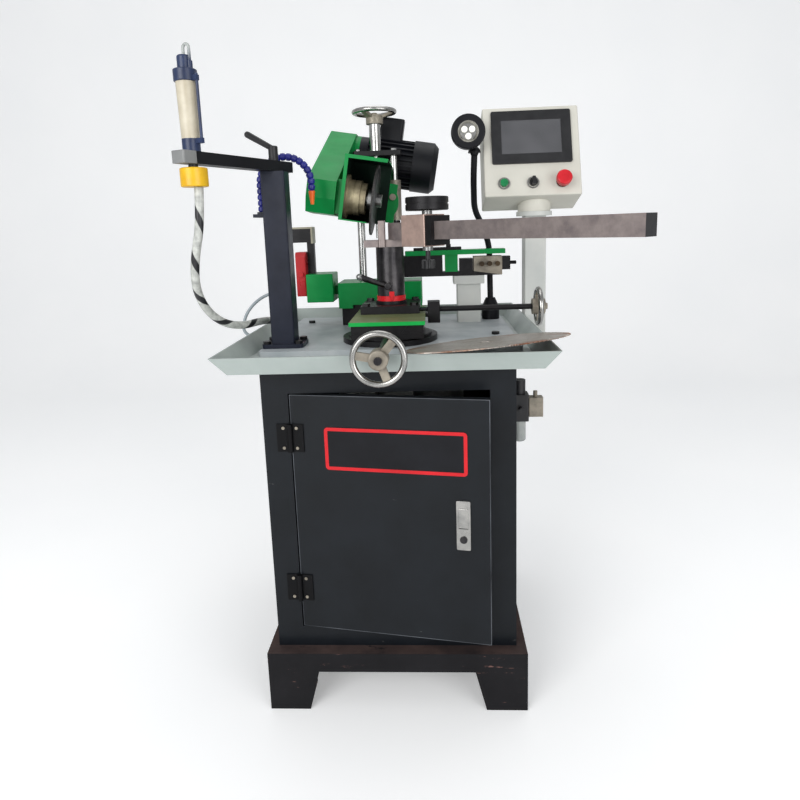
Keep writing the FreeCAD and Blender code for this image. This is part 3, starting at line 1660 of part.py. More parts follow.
def wheel_hood():
    body = block(hood_left, hood_right, hood_front, hood_back, hood_bottom, hood_top)
    inside = block(hood_left + hood_sheet, 2 * hood_right, hood_front - hood_lip, hood_back - hood_sheet,
                   hood_bottom + hood_sheet, hood_top - hood_sheet)
    open_floor = block(hood_floor_right, 2 * hood_right, hood_front - hood_lip, hood_back - hood_sheet,
                       2 * hood_bottom, hood_bottom + hood_sheet)
    top_fold = block(hood_left, hood_right, hood_front, hood_front + hood_sheet, hood_top - hood_lip, hood_top)
    left_fold = block(hood_left, hood_left + hood_lip, hood_front, hood_front + hood_sheet, hood_bottom, hood_top)
    port = bar_x(2 * hood_left, hood_left + hood_lip, spindle_y, 0, sp_flange_r + 2 * turn_gap)
    return tilted(cut(fuse(cut(body, inside, open_floor), top_fold, left_fold), port))


def belt_guard():
    profile = [(guard_front, guard_fold_high), (guard_front, guard_fold_low), (guard_toe_y, guard_toe),
               (guard_heel_y, guard_heel), (guard_back, guard_back_low), (guard_back, guard_back_high),
               (guard_crown_back, guard_crown), (guard_crown_front, guard_crown)]
    ring = outline([vec(guard_left, y, z) for y, z in profile])
    width = side_plate_left - guard_left
    body = Part.Face(ring).extrude(vec(width, 0, 0))
    inner = Part.Face(ring.makeOffset2D(-guard_sheet)).extrude(vec(width - 2 * guard_sheet, 0, 0))
    inner.translate(vec(guard_sheet, 0, 0))
    ports = [bar_x(side_plate_left - 2 * guard_sheet, side_plate_left, spindle_y, 0, shaft_spin_r + guard_sheet)]
    ports.append(bar_x(side_plate_left - 2 * guard_sheet, side_plate_left, motor_y, motor_up,
                       motor_shaft_r + guard_sheet))
    return tilted(cut(body, inner, *ports))


def motor():
    bell = bar_x(side_plate_right, side_plate_right + bell_l, motor_y, motor_up, bell_r)
    body = bar_x(side_plate_right + bell_l, motor_body_right, motor_y, motor_up, motor_body_r)
    fan = bar_x(motor_body_right, fan_right, motor_y, motor_up, fan_r)
    fan = fan.makeChamfer(fan_chamfer, [fan.Edges[0]])
    fins = []
    for number in range(fin_count):
        fin = block(side_plate_right + bell_l, motor_body_right, motor_y - fin_t / 2, motor_y + fin_t / 2,
                    motor_up, motor_up + motor_body_r + fin_out)
        fin.rotate(vec(0, motor_y, motor_up), right, 360.0 * number / fin_count)
        fins.append(fin)
    half = tbox_d / 2
    box = rounded(block(tbox_left, tbox_right, motor_y - half, motor_y + half, motor_up, tbox_top), tbox_edge, up)
    cuts = [bar_x(side_plate_right, side_plate_right + 2 * bell_l, motor_y, motor_up, motor_shaft_r + run_fit)]
    reach = fan_r - 2 * fan_chamfer
    for number in range(fan_slot_count):
        slot = block(fan_right - fan_slot_w, fan_right, motor_y - fan_slot_w / 2, motor_y + fan_slot_w / 2,
                     motor_up + reach / 2, motor_up + reach)
        slot.rotate(vec(0, motor_y, motor_up), right, 360.0 * number / fan_slot_count)
        cuts.append(slot)
    return tilted(cut(fuse(bell, body, fan, box, *fins), *cuts))


def spindle_housing():
    left = side_plate_right
    flange = bar_x(left, left + sp_flange_t, spindle_y, 0, sp_flange_r)
    drum_right = left + sp_flange_t + sp_drum_l
    drum = bar_x(left, drum_right, spindle_y, 0, sp_drum_r)
    ring = bar_x(left, drum_right + sp_ring_l, spindle_y, 0, sp_ring_r)
    middle = drum_right - sp_drum_l / 2
    groove = cut(bar_x(middle - sp_groove, middle + sp_groove, spindle_y, 0, sp_flange_r),
                 bar_x(left, drum_right, spindle_y, 0, sp_drum_r - sp_groove))
    bore = bar_x(2 * left, -left, spindle_y, 0, shaft_spin_r + run_fit)
    return tilted(cut(fuse(flange, drum, ring), groove, bore))


def pulley(y, up_by, radius):
    right_end = pulley_left + pulley_w
    wheel = bar_x(pulley_left, right_end, y, up_by, radius)
    lips = [bar_x(pulley_left, pulley_left + pulley_lip_w, y, up_by, radius + pulley_lip)]
    lips.append(bar_x(right_end - pulley_lip_w, right_end, y, up_by, radius + pulley_lip))
    return fuse(wheel, *lips)


def spindle():
    half = gwheel_t / 2
    shaft = bar_x(pulley_left, half + wnut_l, spindle_y, 0, shaft_spin_r)
    flange = bar_x(-half - wflange_l, -half, spindle_y, 0, wflange_r)
    nut = bar_x(half, half + wnut_l, spindle_y, 0, wnut_r)
    return tilted(fuse(shaft, flange, nut, pulley(spindle_y, 0, pulley_r)))


def grinding_wheel():
    half = gwheel_t / 2
    rim = gwheel_rim_t / 2
    profile = [(shaft_spin_r + run_fit, -half), (gwheel_body_r, -half), (gwheel_r - gwheel_t, -rim), (gwheel_r, -rim),
               (gwheel_r, rim), (gwheel_r - gwheel_t, rim), (gwheel_body_r, half), (shaft_spin_r + run_fit, half)]
    face = Part.Face(outline([vec(s, spindle_y + r, 0) for r, s in profile]))
    return tilted(face.revolve(vec(0, spindle_y, 0), right, 360))


def motor_pulley():
    shaft = bar_x(pulley_left, side_plate_right + bell_l, motor_y, motor_up, motor_shaft_r)
    return tilted(fuse(shaft, pulley(motor_y, motor_up, motor_pulley_r)))


def wrapped(grow, s0, s1):
    # Solid bounded by a tight wrap round both pulleys, grown by a margin
    small = pulley_r + grow
    large = motor_pulley_r + grow
    run_y = motor_y - spindle_y
    gap = math.hypot(run_y, motor_up)
    heading = math.atan2(motor_up, run_y)
    lean = math.acos((small - large) / gap)
    corners = []
    for turn, ends in ((heading + lean, (0, 1)), (heading - lean, (1, 0))):
        for end in ends:
            r = large if end else small
            corners.append(vec(s0, spindle_y + end * run_y + r * math.cos(turn), end * motor_up + r * math.sin(turn)))
    span = prism(corners, vec(s1 - s0, 0, 0))
    return fuse(span, bar_x(s0, s1, spindle_y, 0, small), bar_x(s0, s1, motor_y, motor_up, large))


def drive_belt():
    s0 = pulley_left + pulley_lip_w + belt_gap
    s1 = pulley_left + pulley_w - pulley_lip_w - belt_gap
    return tilted(cut(wrapped(belt_gap + belt_t, s0, s1), wrapped(belt_gap, s0, s1)))


# Tooth index on its pedestal
idx_bar_z = ped_top + ped_cap_h
idx_top = idx_bar_z + idx_bar_t
idx_back = idx_front + idx_d


def pedestal():
    stem = block(ped_left, ped_right, ped_front, ped_front + ped_d, table_z, ped_top)
    stem = rounded(stem, mast_corner, up)
    hollow = block(ped_left + ped_wall, ped_right - ped_wall, ped_front + ped_wall, ped_front + ped_d - ped_wall,
                   table_z, ped_top - ped_wall)
    cap = block(ped_left - ped_cap_over, ped_right + ped_cap_over, ped_front - ped_cap_over,
                ped_front + ped_d + ped_cap_over, ped_top, idx_bar_z)
    return fuse(cut(stem, hollow), rounded(cap, mast_corner, up))


def index_base():
    bar = block(idx_left, idx_right, idx_front, idx_back, idx_bar_z, idx_top)
    head = rounded(block(idx_left + idx_block_edge, idx_block_right, idx_front, idx_back, idx_top, idx_block_top),
                   idx_block_edge, up)
    valve = block(idx_valve_left, idx_valve_right, idx_front, idx_back, idx_top, idx_valve_top)
    bracket = block(idx_bracket_left, idx_right, idx_front, idx_back, idx_top, idx_bracket_top)
    pieces = []
    middle = (idx_top + idx_bracket_top) / 2
    for number in range(idx_fit_count):
        x = idx_bracket_left + idx_fit_pitch * (number + 1)
        pieces.append(bar_y(x, idx_front - idx_fit_l, idx_front, middle, idx_fit_r))
    centre = (idx_front + idx_back) / 2
    pieces.append(block(idx_right, idx_right + idx_end_w, centre - idx_end_d / 2, centre + idx_end_d / 2,
                        middle - idx_end_h / 2, middle + idx_end_h / 2))
    pieces.append(bar_x(idx_right, idx_right + idx_end_w + idx_nub_l, centre, middle, idx_nub_r))
    return fuse(bar, head, valve, bracket, *pieces)


cover_top = idx_block_top + cover_t
pawl_y = (idx_front + idx_back) / 2


def index_cover():
    plate = block(cover_left, cover_right, idx_front - cover_over, idx_back + cover_over, idx_block_top, cover_top)
    leg = block(cover_leg_left, cover_leg_right, idx_front, idx_back, idx_top, cover_top)
    play = pawl_key_w / 2 + slide_fit
    slot = block(pawl_slot_left, pawl_slot_left + pawl_slot_l, pawl_y - play, pawl_y + play,
                 cover_top - pawl_key_h - turn_gap, 2 * cover_top)
    return cut(fuse(rounded(plate, mast_corner, up), leg), slot)


def index_pawl():
    low = cover_top + turn_gap
    half = pawl_d / 2
    outline_points = [(pawl_tip, pawl_y - pawl_tip_w), (pawl_left, pawl_y - half), (pawl_right, pawl_y - half),
                      (pawl_right, pawl_y + half), (pawl_left, pawl_y + half), (pawl_tip, pawl_y)]
    plate = prism([vec(x, y, low) for x, y in outline_points], vec(0, 0, pawl_t))
    middle = pawl_slot_left + pawl_slot_l / 2
    key = block(middle - pawl_key_l / 2, middle + pawl_key_l / 2, pawl_y - pawl_key_w / 2, pawl_y + pawl_key_w / 2,
                cover_top - pawl_key_h, low)
    bolt = hexagon_z(middle, pawl_y, low + pawl_t, low + pawl_t + pawl_bolt_h, 2 * pawl_bolt_r)
    return fuse(plate, key, bolt)


# Control post on the side of the cabinet, with the tilted box on top
post_left = tray_rim_w / 2 + post_gap
post_x = post_left + post_s / 2
post_y = post_front + post_s / 2
neck_z = post_top + flange_h + turn_gap


def control_post():
    tube = rounded(block(post_left, post_left + post_s, post_front, post_front + post_s, post_low, post_top),
                   mast_corner, up)
    hollow = block(post_left + post_wall, post_left + post_s - post_wall, post_front + post_wall,
                   post_front + post_s - post_wall, post_low + post_wall, post_top - post_wall)
    high = post_low + post_bracket_h
    shelf_back = post_front + post_s
    plates = [block(cab_right, post_left, post_front, shelf_back, post_low, post_low + post_bracket_t)]
    plates.append(block(cab_right, post_left, post_front, shelf_back, high - post_bracket_t, high))
    plates.append(block(cab_right, post_left, post_y - post_bracket_t / 2, post_y + post_bracket_t / 2, post_low, high))
    plates.append(block(cab_right, cab_right + post_bracket_t, post_front, shelf_back, post_low, high))
    flange = bar_z(post_x, post_y, post_top, post_top + flange_h, flange_r)
    pin = bar_z(post_x, post_y, post_top, neck_z + post_pin_h, post_pin_r)
    return fuse(cut(tube, hollow), flange, pin, *plates)


def leaned(shape):
    # Leans a piece of the box back about the box's lower front edge
    moved = shape.copy()
    moved.rotate(vec(cbox_x, cbox_front, cbox_low), right, -cbox_tilt)
    return moved


def button_x(number):
    return cbox_x + (number - 1) * button_pitch


button_z = cbox_low + button_up
face_y = cbox_front
panel_low = cbox_low + panel_frame_up


def control_box():
    hw = cbox_w / 2
    body = block(cbox_x - hw, cbox_x + hw, cbox_front, cbox_front + cbox_d, cbox_low, cbox_low + cbox_h)
    body = rounded(body, cbox_edge, right, back, up)
    wall = cbox_wall
    inside = block(cbox_x - hw + wall, cbox_x + hw - wall, cbox_front + wall, cbox_front + cbox_d - wall,
                   cbox_low + wall, cbox_low + cbox_h - wall)
    half = panel_body_w / 2 + slide_fit
    middle = panel_low + panel_frame_h / 2
    high = panel_body_h / 2 + slide_fit
    window = block(cbox_x - half, cbox_x + half, cbox_front, cbox_front + 2 * wall, middle - high, middle + high)
    cuts = [window]
    rings = []
    for number in range(button_count):
        x = button_x(number)
        bore = bar_y(x, face_y - bezel_t, face_y + 2 * wall, button_z, stem_r + turn_gap)
        cuts.append(bore)
        cap = bar_y(x, face_y - bezel_t, face_y, button_z, bezel_r)
        rings.append(cut(cap, bar_y(x, face_y - bezel_t, face_y, button_z, stop_neck_r + turn_gap)))
    shell = leaned(cut(fuse(body, *rings), *cuts))
    neck = bar_z(post_x, post_y, neck_z, cbox_low, cbox_neck_r)
    socket = bar_z(post_x, post_y, neck_z, neck_z + post_pin_h + turn_gap, post_pin_r + run_fit)
    return cut(fuse(shell, cut(neck, socket)), leaned(inside), socket)


def touch_panel():
    hw = panel_frame_w / 2
    frame = rounded(block(cbox_x - hw, cbox_x + hw, face_y - panel_frame_t, face_y, panel_low,
                          panel_low + panel_frame_h), panel_round, back)
    middle = panel_low + panel_frame_h / 2
    half = panel_body_w / 2
    high = panel_body_h / 2
    body = block(cbox_x - half, cbox_x + half, face_y, face_y + panel_body_d, middle - high, middle + high)
    sw = panel_screen_w / 2
    sh = panel_screen_h / 2
    screen = block(cbox_x - sw, cbox_x + sw, face_y - 2 * panel_frame_t, face_y - panel_frame_t + panel_screen_in,
                   middle - sh, middle + sh)
    return leaned(cut(fuse(frame, body), screen))


def button_stem(x, out):
    return bar_y(x, face_y - out, face_y + stem_l, button_z, stem_r)


def green_button():
    x = button_x(0)
    front = face_y - bezel_t - button_cap_h
    cap = bar_y(x, front, front + button_cap_h, button_z, button_cap_r)
    cap = cap.makeFillet(bezel_t / 4, [cap.Edges[2]])
    return leaned(fuse(cap, button_stem(x, bezel_t + button_cap_h / 2)))


def selector_knob():
    x = button_x(1)
    front = face_y - bezel_t - button_cap_h
    cap = bar_y(x, front, front + button_cap_h, button_z, button_cap_r)
    grip = block(x - selector_w / 2, x + selector_w / 2, front - selector_h, front, button_z - button_cap_r,
                 button_z + button_cap_r)
    return leaned(fuse(cap, rounded(grip, selector_w / 4, back), button_stem(x, bezel_t + button_cap_h / 2)))


def stop_button():
    x = button_x(2)
    neck_front = face_y - bezel_t - stop_press - stop_neck_h
    neck = bar_y(x, neck_front, neck_front + stop_neck_h, button_z, stop_neck_r)
    cap = bar_y(x, neck_front - stop_cap_h, neck_front, button_z, stop_cap_r)
    cap = cap.makeFillet(bezel_t, [cap.Edges[2]])
    return leaned(fuse(cap, neck, button_stem(x, bezel_t + stop_press + stop_neck_h)))


# Work lamp on its gooseneck
def lamp_stand():
    low = bar_z(lamp_x, lamp_y, table_z, table_z + lamp_base_low_h, lamp_base_r)
    shoulder = cone_between(vec(lamp_x, lamp_y, table_z + lamp_base_low_h), vec(lamp_x, lamp_y, table_z + lamp_base_h),
                            lamp_base_r, lamp_base_neck_r)
    ball = Part.makeSphere(lamp_ball_r, vec(*lamp_points[-1]))
    return fuse(low, shoulder, cord(lamp_points, neck_r), ball)


def lamp_head():
    ball = vec(*lamp_points[-1])
    front = lamp_head_y
    case = bar_y(lamp_head_x, front, front + lamp_head_d, lamp_head_z, lamp_head_r)
    case = case.makeFillet(lamp_led_h, [case.Edges[0], case.Edges[2]])
    rear = bar_y(lamp_head_x, front + lamp_head_d, front + lamp_head_d + lamp_back_d, lamp_head_z, lamp_back_r)
    lamp_bowl_low_r = lamp_led_r + lamp_led_off + lamp_bowl_edge
    bowl = Part.makeCone(lamp_bowl_r, lamp_bowl_low_r, lamp_bowl_d, vec(lamp_head_x, front, lamp_head_z), back)
    leds = []
    for number in range(lamp_led_count):
        turn = 2 * math.pi * number / lamp_led_count - math.pi / 2
        leds.append(bar_y(lamp_head_x + lamp_led_off * math.cos(turn), front + lamp_bowl_d - lamp_led_h,
                          front + lamp_bowl_d, lamp_head_z + lamp_led_off * math.sin(turn), lamp_led_r))
    root = vec(lamp_head_x, front + lamp_head_d + lamp_back_d / 2, lamp_head_z)
    fork = rod_between(root, ball, lamp_fork_r)
    socket = Part.makeSphere(lamp_ball_r + lamp_fork_r, ball)
    room = Part.makeSphere(lamp_ball_r + turn_gap, ball)
    skirt = block(ball.x - 2 * lamp_head_r, ball.x + 2 * lamp_head_r, ball.y - 2 * lamp_head_r,
                  ball.y + 2 * lamp_head_r, lamp_head_z - 2 * lamp_head_r - lamp_ball_r, ball.z)
    cup = cut(socket, skirt)
    return cut(fuse(cut(case, bowl), rear, fork, cup, *leds), room)


# Saw blade leaning on two tray rims and the table
blade_x = tray_rim_w / 2 - blade_in


def blade_plane():
    # Height and slopes of the underside, from its three contacts
    rim_y = tray_front + tray_wall
    rim_x = tray_rim_w / 2 - tray_wall
    first = (blade_x - math.sqrt(blade_r ** 2 - (rim_y - blade_y) ** 2), rim_y, rim_z)
    second = (rim_x, blade_y + math.sqrt(blade_r ** 2 - (rim_x - blade_x) ** 2), rim_z)
    slope_x = 1.0
    slope_y = -1.0
    for step in range(blade_steps):
        steep = math.hypot(slope_x, slope_y)
        third = (blade_x - blade_r * slope_x / steep, blade_y - blade_r * slope_y / steep, table_z)
        normal = (vec(*second) - vec(*first)).cross(vec(*third) - vec(*first))
        slope_x = -normal.x / normal.z
        slope_y = -normal.y / normal.z
    height = first[2] + slope_x * (blade_x - first[0]) + slope_y * (blade_y - first[1])
    return height, slope_x, slope_y


def saw_blade():
    height, slope_x, slope_y = blade_plane()
    points = []
    for tooth in range(blade_teeth):
        step = 2 * math.pi / blade_teeth
        for r, share in ((blade_r - blade_tooth_d, 0), (blade_r, 0), (blade_r - blade_tooth_d, blade_tooth_share)):
            turn = step * (tooth + share)
            points.append(vec(r * math.cos(turn), r * math.sin(turn), 0))
    disc = prism(points, vec(0, 0, blade_t))
    disc = cut(disc, bar_z(0, 0, 0, blade_t, blade_bore_r))
    normal = vec(-slope_x, -slope_y, 1)
    disc.Placement = FreeCAD.Placement(vec(blade_x, blade_y, height + blade_rest), FreeCAD.Rotation(up, normal))
    return disc


nodes = {
    "base_frame": base_frame,
    "cabinet_shell": cabinet_shell,
    "cabinet_door": cabinet_door,
    "door_hinges": door_hinges,
    "latch_lever": latch_lever,
    "coolant_tank": coolant_tank,
    "control_panel": control_panel,
    "air_unit": air_unit,
    "drip_tray": drip_tray,
    "table_plate": table_plate,
    "table_bolts": table_bolts,
    "mast": mast,
    "swing_arm": swing_arm,
    "arm_lever": arm_lever,
    "mist_tube": mist_tube,
    "yellow_cap": yellow_cap,
    "coolant_hose": coolant_hose,
    "slide_base": slide_base,
    "cross_slide": cross_slide,
    "front_handwheel": front_handwheel,
    "column_base": column_base,
    "side_handwheel": side_handwheel,
    "scale_ring": scale_ring,
    "swivel_column": swivel_column,
    "column_lever": column_lever,
    "bar_head": bar_head,
    "square_bar": square_bar,
    "bar_carriage": bar_carriage,
    "clamp_disc": clamp_disc,
    "star_knob": star_knob,
    "head_base": head_base,
    "head_saddle": head_saddle,
    "switch_box": switch_box,
    "lift_frame": lift_frame,
    "top_handwheel": top_handwheel,
    "head_slide": head_slide,
    "head_plate": head_plate,
    "wheel_hood": wheel_hood,
    "belt_guard": belt_guard,
    "motor": motor,
    "spindle_housing": spindle_housing,
    "spindle": spindle,
    "grinding_wheel": grinding_wheel,
    "motor_pulley": motor_pulley,
    "drive_belt": drive_belt,
    "pedestal": pedestal,
    "index_base": index_base,
    "index_cover": index_cover,
    "index_pawl": index_pawl,
    "control_post": control_post,
    "control_box": control_box,
    "touch_panel": touch_panel,
    "green_button": green_button,
    "selector_knob": selector_knob,
    "stop_button": stop_button,
    "lamp_stand": lamp_stand,
    "lamp_head": lamp_head,
    "saw_blade": saw_blade,
}

for name, make in nodes.items():
    save(name, make())
save("cable_bundle", cord(bundle_points, bundle_r))
save("air_hose", cord(air_points, air_r))
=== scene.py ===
import bpy
import math
import numpy as np
from mathutils import Matrix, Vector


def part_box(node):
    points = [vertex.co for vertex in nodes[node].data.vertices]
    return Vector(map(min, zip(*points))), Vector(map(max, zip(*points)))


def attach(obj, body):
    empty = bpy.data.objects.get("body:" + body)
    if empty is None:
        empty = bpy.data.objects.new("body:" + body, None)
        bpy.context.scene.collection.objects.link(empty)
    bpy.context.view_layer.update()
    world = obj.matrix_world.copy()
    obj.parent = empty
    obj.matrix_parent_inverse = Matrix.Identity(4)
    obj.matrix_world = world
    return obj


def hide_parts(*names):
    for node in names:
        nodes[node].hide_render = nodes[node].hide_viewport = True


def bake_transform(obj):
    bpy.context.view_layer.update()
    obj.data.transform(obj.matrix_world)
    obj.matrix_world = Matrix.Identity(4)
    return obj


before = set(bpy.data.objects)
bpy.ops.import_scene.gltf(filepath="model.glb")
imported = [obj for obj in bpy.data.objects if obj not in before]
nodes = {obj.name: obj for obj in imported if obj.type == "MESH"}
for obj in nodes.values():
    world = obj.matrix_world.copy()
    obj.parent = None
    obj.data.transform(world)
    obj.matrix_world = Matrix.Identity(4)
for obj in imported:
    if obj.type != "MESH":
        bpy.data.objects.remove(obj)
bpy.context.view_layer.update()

from types import SimpleNamespace

mm = 0.001  # sizes are in millimetres, apart from those of the studio and of bumps, which are in metres
print("frame loaded:", len(nodes), "nodes")

# camera: in front, a little to the right of the middle, looking down ten degrees
view = {
    "place": (102.23, -1590.71, 1109.67),
    "yaw": -3.09, "pitch": 10.33, "roll": -1.94,  # degrees
    "focal": 625.94,      # pixels in an 800 pixel frame
    "centreRow": 340.54,  # row that the optical axis meets
    "frame": 800,
    "sensor": 36.0,
    "farthest": 60.0,     # metres
}


def placed(place, across, upward, back):
    # matrix of an object that stands at a place with these three axes
    turn = np.column_stack([across, upward, back])
    return Matrix.Translation(place) @ Matrix(turn.tolist()).to_4x4()


def aimCamera():
    # axes turned by yaw and pitch, then rolled about the line of sight
    yaw, pitch, roll = (math.radians(view[k]) for k in ("yaw", "pitch", "roll"))
    ahead = np.array([math.sin(yaw) * math.cos(pitch), math.cos(yaw) * math.cos(pitch), -math.sin(pitch)])
    level = np.array([math.cos(yaw), -math.sin(yaw), 0.0])
    above = np.cross(level, ahead)
    across = math.cos(roll) * level + math.sin(roll) * above
    upward = -math.sin(roll) * level + math.cos(roll) * above
    data = bpy.data.cameras.new("photoCamera")
    data.sensor_width = view["sensor"]
    data.lens = view["focal"] * view["sensor"] / view["frame"]
    data.shift_y = (view["centreRow"] - view["frame"] / 2) / view["frame"]
    data.clip_end = view["farthest"]
    camera = bpy.data.objects.new("photoCamera", data)
    camera.matrix_world = placed([c * mm for c in view["place"]], across, upward, -ahead)
    bpy.context.scene.collection.objects.link(camera)
    bpy.context.scene.camera = camera


aimCamera()
print("camera set")


def newMesh(name, points, faces, body, material, smooth=True, uv=None):
    mesh = bpy.data.meshes.new(name)
    mesh.from_pydata(points.tolist(), [], faces.tolist())
    mesh.polygons.foreach_set("use_smooth", np.full(len(faces), smooth))
    if uv is not None:
        layer = mesh.uv_layers.new(name="along")
        corner = np.empty(len(mesh.loops), int)
        mesh.loops.foreach_get("vertex_index", corner)
        layer.data.foreach_set("uv", uv[corner].ravel())
    mesh.update()
    obj = bpy.data.objects.new(name, mesh)
    bpy.context.scene.collection.objects.link(obj)
    mesh.materials.append(material)
    if body:
        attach(obj, body)
    return obj


def gridFaces(rows, cols, closed=False):
    # quads between neighbouring points of a rows x cols grid
    r, c = np.meshgrid(np.arange(rows - 1), np.arange(cols if closed else cols - 1), indexing="ij")
    d = (c + 1) % cols
    return np.stack([r * cols + c, r * cols + d, (r + 1) * cols + d, (r + 1) * cols + c], -1).reshape(-1, 4)


# shader nodes
noiseSpan = (0.3, 0.7)  # most values of a noise lie between these
black, white = (0, 0, 0, 1), (1, 1, 1, 1)
mixSocket = {"factor": 0, "first": 6, "second": 7, "result": 2}  # colour sockets of a Mix node


def rgb(red, green, blue):
    # screen colour 0 to 255 turned to linear light by the sRGB curve
    c = np.array([red, green, blue]) / 255.0
    lin = np.where(c <= 0.04045, c / 12.92, ((c + 0.055) / 1.055) ** 2.4)
    return (*lin.tolist(), 1.0)


def blank(name):
    mat = bpy.data.materials.new(name)
    mat.use_nodes = True
    tree = mat.node_tree
    return mat, tree, tree.nodes["Principled BSDF"]


def addNode(tree, kind, values):
    node = tree.nodes.new(kind)
    for socket, value in values.items():
        node.inputs[socket].default_value = value
    return node


def objectSpace(tree, stretch=(1, 1, 1)):
    where = tree.nodes.new("ShaderNodeTexCoord")
    place = addNode(tree, "ShaderNodeMapping", {"Scale": stretch})
    tree.links.new(where.outputs["Object"], place.inputs["Vector"])
    return place.outputs["Vector"]


def noise(tree, vector, scale, detail=4.0, rough=0.55):
    node = addNode(tree, "ShaderNodeTexNoise", {"Scale": scale, "Detail": detail, "Roughness": rough})
    tree.links.new(vector, node.inputs["Vector"])
    return node.outputs["Fac"]


def ramp(tree, value, low, high, span=noiseSpan):
    # one colour turns into another as the value rises across the span
    node = tree.nodes.new("ShaderNodeValToRGB")
    first, second = node.color_ramp.elements
    first.position, first.color = span[0], low
    second.position, second.color = span[1], high
    tree.links.new(value, node.inputs["Fac"])
    return node.outputs["Color"]


def spread(tree, value, low, high, span=(0.0, 1.0)):
    # the span of a value carried to the range from low to high
    node = addNode(tree, "ShaderNodeMapRange",
                   {"From Min": span[0], "From Max": span[1], "To Min": low, "To Max": high})
    tree.links.new(value, node.inputs["Value"])
    return node.outputs["Result"]


def blendColour(tree, factor, first, second):
    # second colour over the first, where the factor is white
    node = tree.nodes.new("ShaderNodeMix")
    node.data_type = "RGBA"
    tree.links.new(factor, node.inputs[mixSocket["factor"]])
    for key, colour in (("first", first), ("second", second)):
        socket = node.inputs[mixSocket[key]]
        if isinstance(colour, tuple):
            socket.default_value = colour
        else:
            tree.links.new(colour, socket)
    return node.outputs[mixSocket["result"]]


def coloured(tree, shader, colour):
    tree.links.new(colour, shader.inputs["Base Color"])


def polished(tree, shader, value, rough):
    # roughness goes with a noise between two limits
    tree.links.new(spread(tree, value, *rough, span=noiseSpan), shader.inputs["Roughness"])


def bumped(tree, shader, value, height, strength):
    node = addNode(tree, "ShaderNodeBump", {"Strength": strength, "Distance": height})
    tree.links.new(value, node.inputs["Height"])
    tree.links.new(node.outputs["Normal"], shader.inputs["Normal"])


# sprayed enamel: two close tones in soft clouds, orange-peel bump, a few worn specks
enamelLook = {"clouds": 9.0, "gloss": 22.0, "peel": 420.0, "specks": 34.0, "speckEdge": 0.05}


def enamel(name, colour, shade, worn, rough, wear, shine=0.35, drag=(1, 1, 1)):
    look = enamelLook
    mat, tree, shader = blank(name)
    spot = objectSpace(tree)
    base = ramp(tree, noise(tree, spot, look["clouds"]), rgb(*shade), rgb(*colour))
    marks = noise(tree, objectSpace(tree, drag), look["specks"], detail=8.0, rough=0.7)
    specks = ramp(tree, marks, black, white, (wear, wear + look["speckEdge"]))
    coloured(tree, shader, blendColour(tree, specks, base, rgb(*worn)))
    polished(tree, shader, noise(tree, spot, look["gloss"]), rough)
    shader.inputs["Specular IOR Level"].default_value = shine
    bumped(tree, shader, noise(tree, spot, look["peel"], detail=2.0), height=0.0003, strength=0.22)
    return mat


# machined metal: stretched noise for the grain, clouds of tarnish over it
machinedLook = {"clouds": 26.0, "tarnish": (0.32, 0.62)}


def machined(name, colour, tarnish, stretch=(1, 1, 30), rough=(0.22, 0.42), grain=160.0, metal=1.0):
    look = machinedLook
    mat, tree, shader = blank(name)
    lines = noise(tree, objectSpace(tree, stretch), grain, detail=3.0)
    clouds = noise(tree, objectSpace(tree), look["clouds"], detail=6.0, rough=0.65)
    coloured(tree, shader, ramp(tree, clouds, rgb(*tarnish), rgb(*colour), look["tarnish"]))
    polished(tree, shader, lines, rough)
    shader.inputs["Metallic"].default_value = metal
    bumped(tree, shader, lines, height=0.0002, strength=0.16)
    return mat


# moulded plastic: fine texture and a little tone change
mouldedLook = {"clouds": 30.0, "gloss": 60.0, "texture": 900.0}


def moulded(name, colour, shade, rough=(0.35, 0.5), clear=0.0):
    look = mouldedLook
    mat, tree, shader = blank(name)
    spot = objectSpace(tree)
    coloured(tree, shader, ramp(tree, noise(tree, spot, look["clouds"]), rgb(*shade), rgb(*colour)))
    polished(tree, shader, noise(tree, spot, look["gloss"]), rough)
    shader.inputs["Transmission Weight"].default_value = clear
    bumped(tree, shader, noise(tree, spot, look["texture"], detail=2.0), height=0.0001, strength=0.2)
    return mat


blackBlue = enamel("blackBlueEnamel", (21, 25, 30), (15, 18, 22), (92, 92, 92),
                   rough=(0.3, 0.44), wear=0.685, shine=0.24, drag=(0.6, 0.6, 1.8))
plinthBlack = enamel("plinthEnamel", (24, 23, 26), (14, 13, 16), (120, 88, 82),
                     rough=(0.4, 0.6), wear=0.63, shine=0.2, drag=(0.5, 0.5, 3))
ledgeDust = enamel("dustyLedge", (88, 72, 68), (46, 41, 42), (30, 29, 32),
                   rough=(0.6, 0.8), wear=0.6, shine=0.1, drag=(0.4, 1, 1))
hingeBlack = enamel("hingeEnamel", (14, 14, 16), (8, 8, 10), (50, 50, 52),
                    rough=(0.45, 0.6), wear=0.76, shine=0.15)
mastBlack = enamel("mastEnamel", (40, 44, 58), (25, 28, 39), (84, 86, 92),
                   rough=(0.3, 0.45), wear=0.77, shine=0.2)
# painted highlight: pale tone for the thin line along the door's edges
paintedEdgeHighlight = enamel("paintedDoorEdgeHighlight", (104, 108, 114), (34, 37, 42), (140, 142, 146),
                  rough=(0.3, 0.44), wear=0.7, shine=0.3)
deepBlack = enamel("deepBlackEnamel", (24, 25, 30), (14, 14, 18), (64, 64, 70),
                   rough=(0.3, 0.45), wear=0.76, shine=0.2)
motorBlack = enamel("motorEnamel", (20, 22, 28), (11, 12, 16), (50, 52, 60),
                    rough=(0.34, 0.5), wear=0.78, shine=0.25)
green = enamel("greenEnamel", (0, 146, 70), (0, 126, 58), (96, 160, 112),
               rough=(0.3, 0.42), wear=0.8, shine=0.25)
# painted shade: dark green for the faces inside the wheel hood
hoodShadeGreen = enamel("paintedHoodShade", (16, 40, 28), (8, 16, 13), (40, 60, 44),
                   rough=(0.5, 0.7), wear=0.72, shine=0.15)
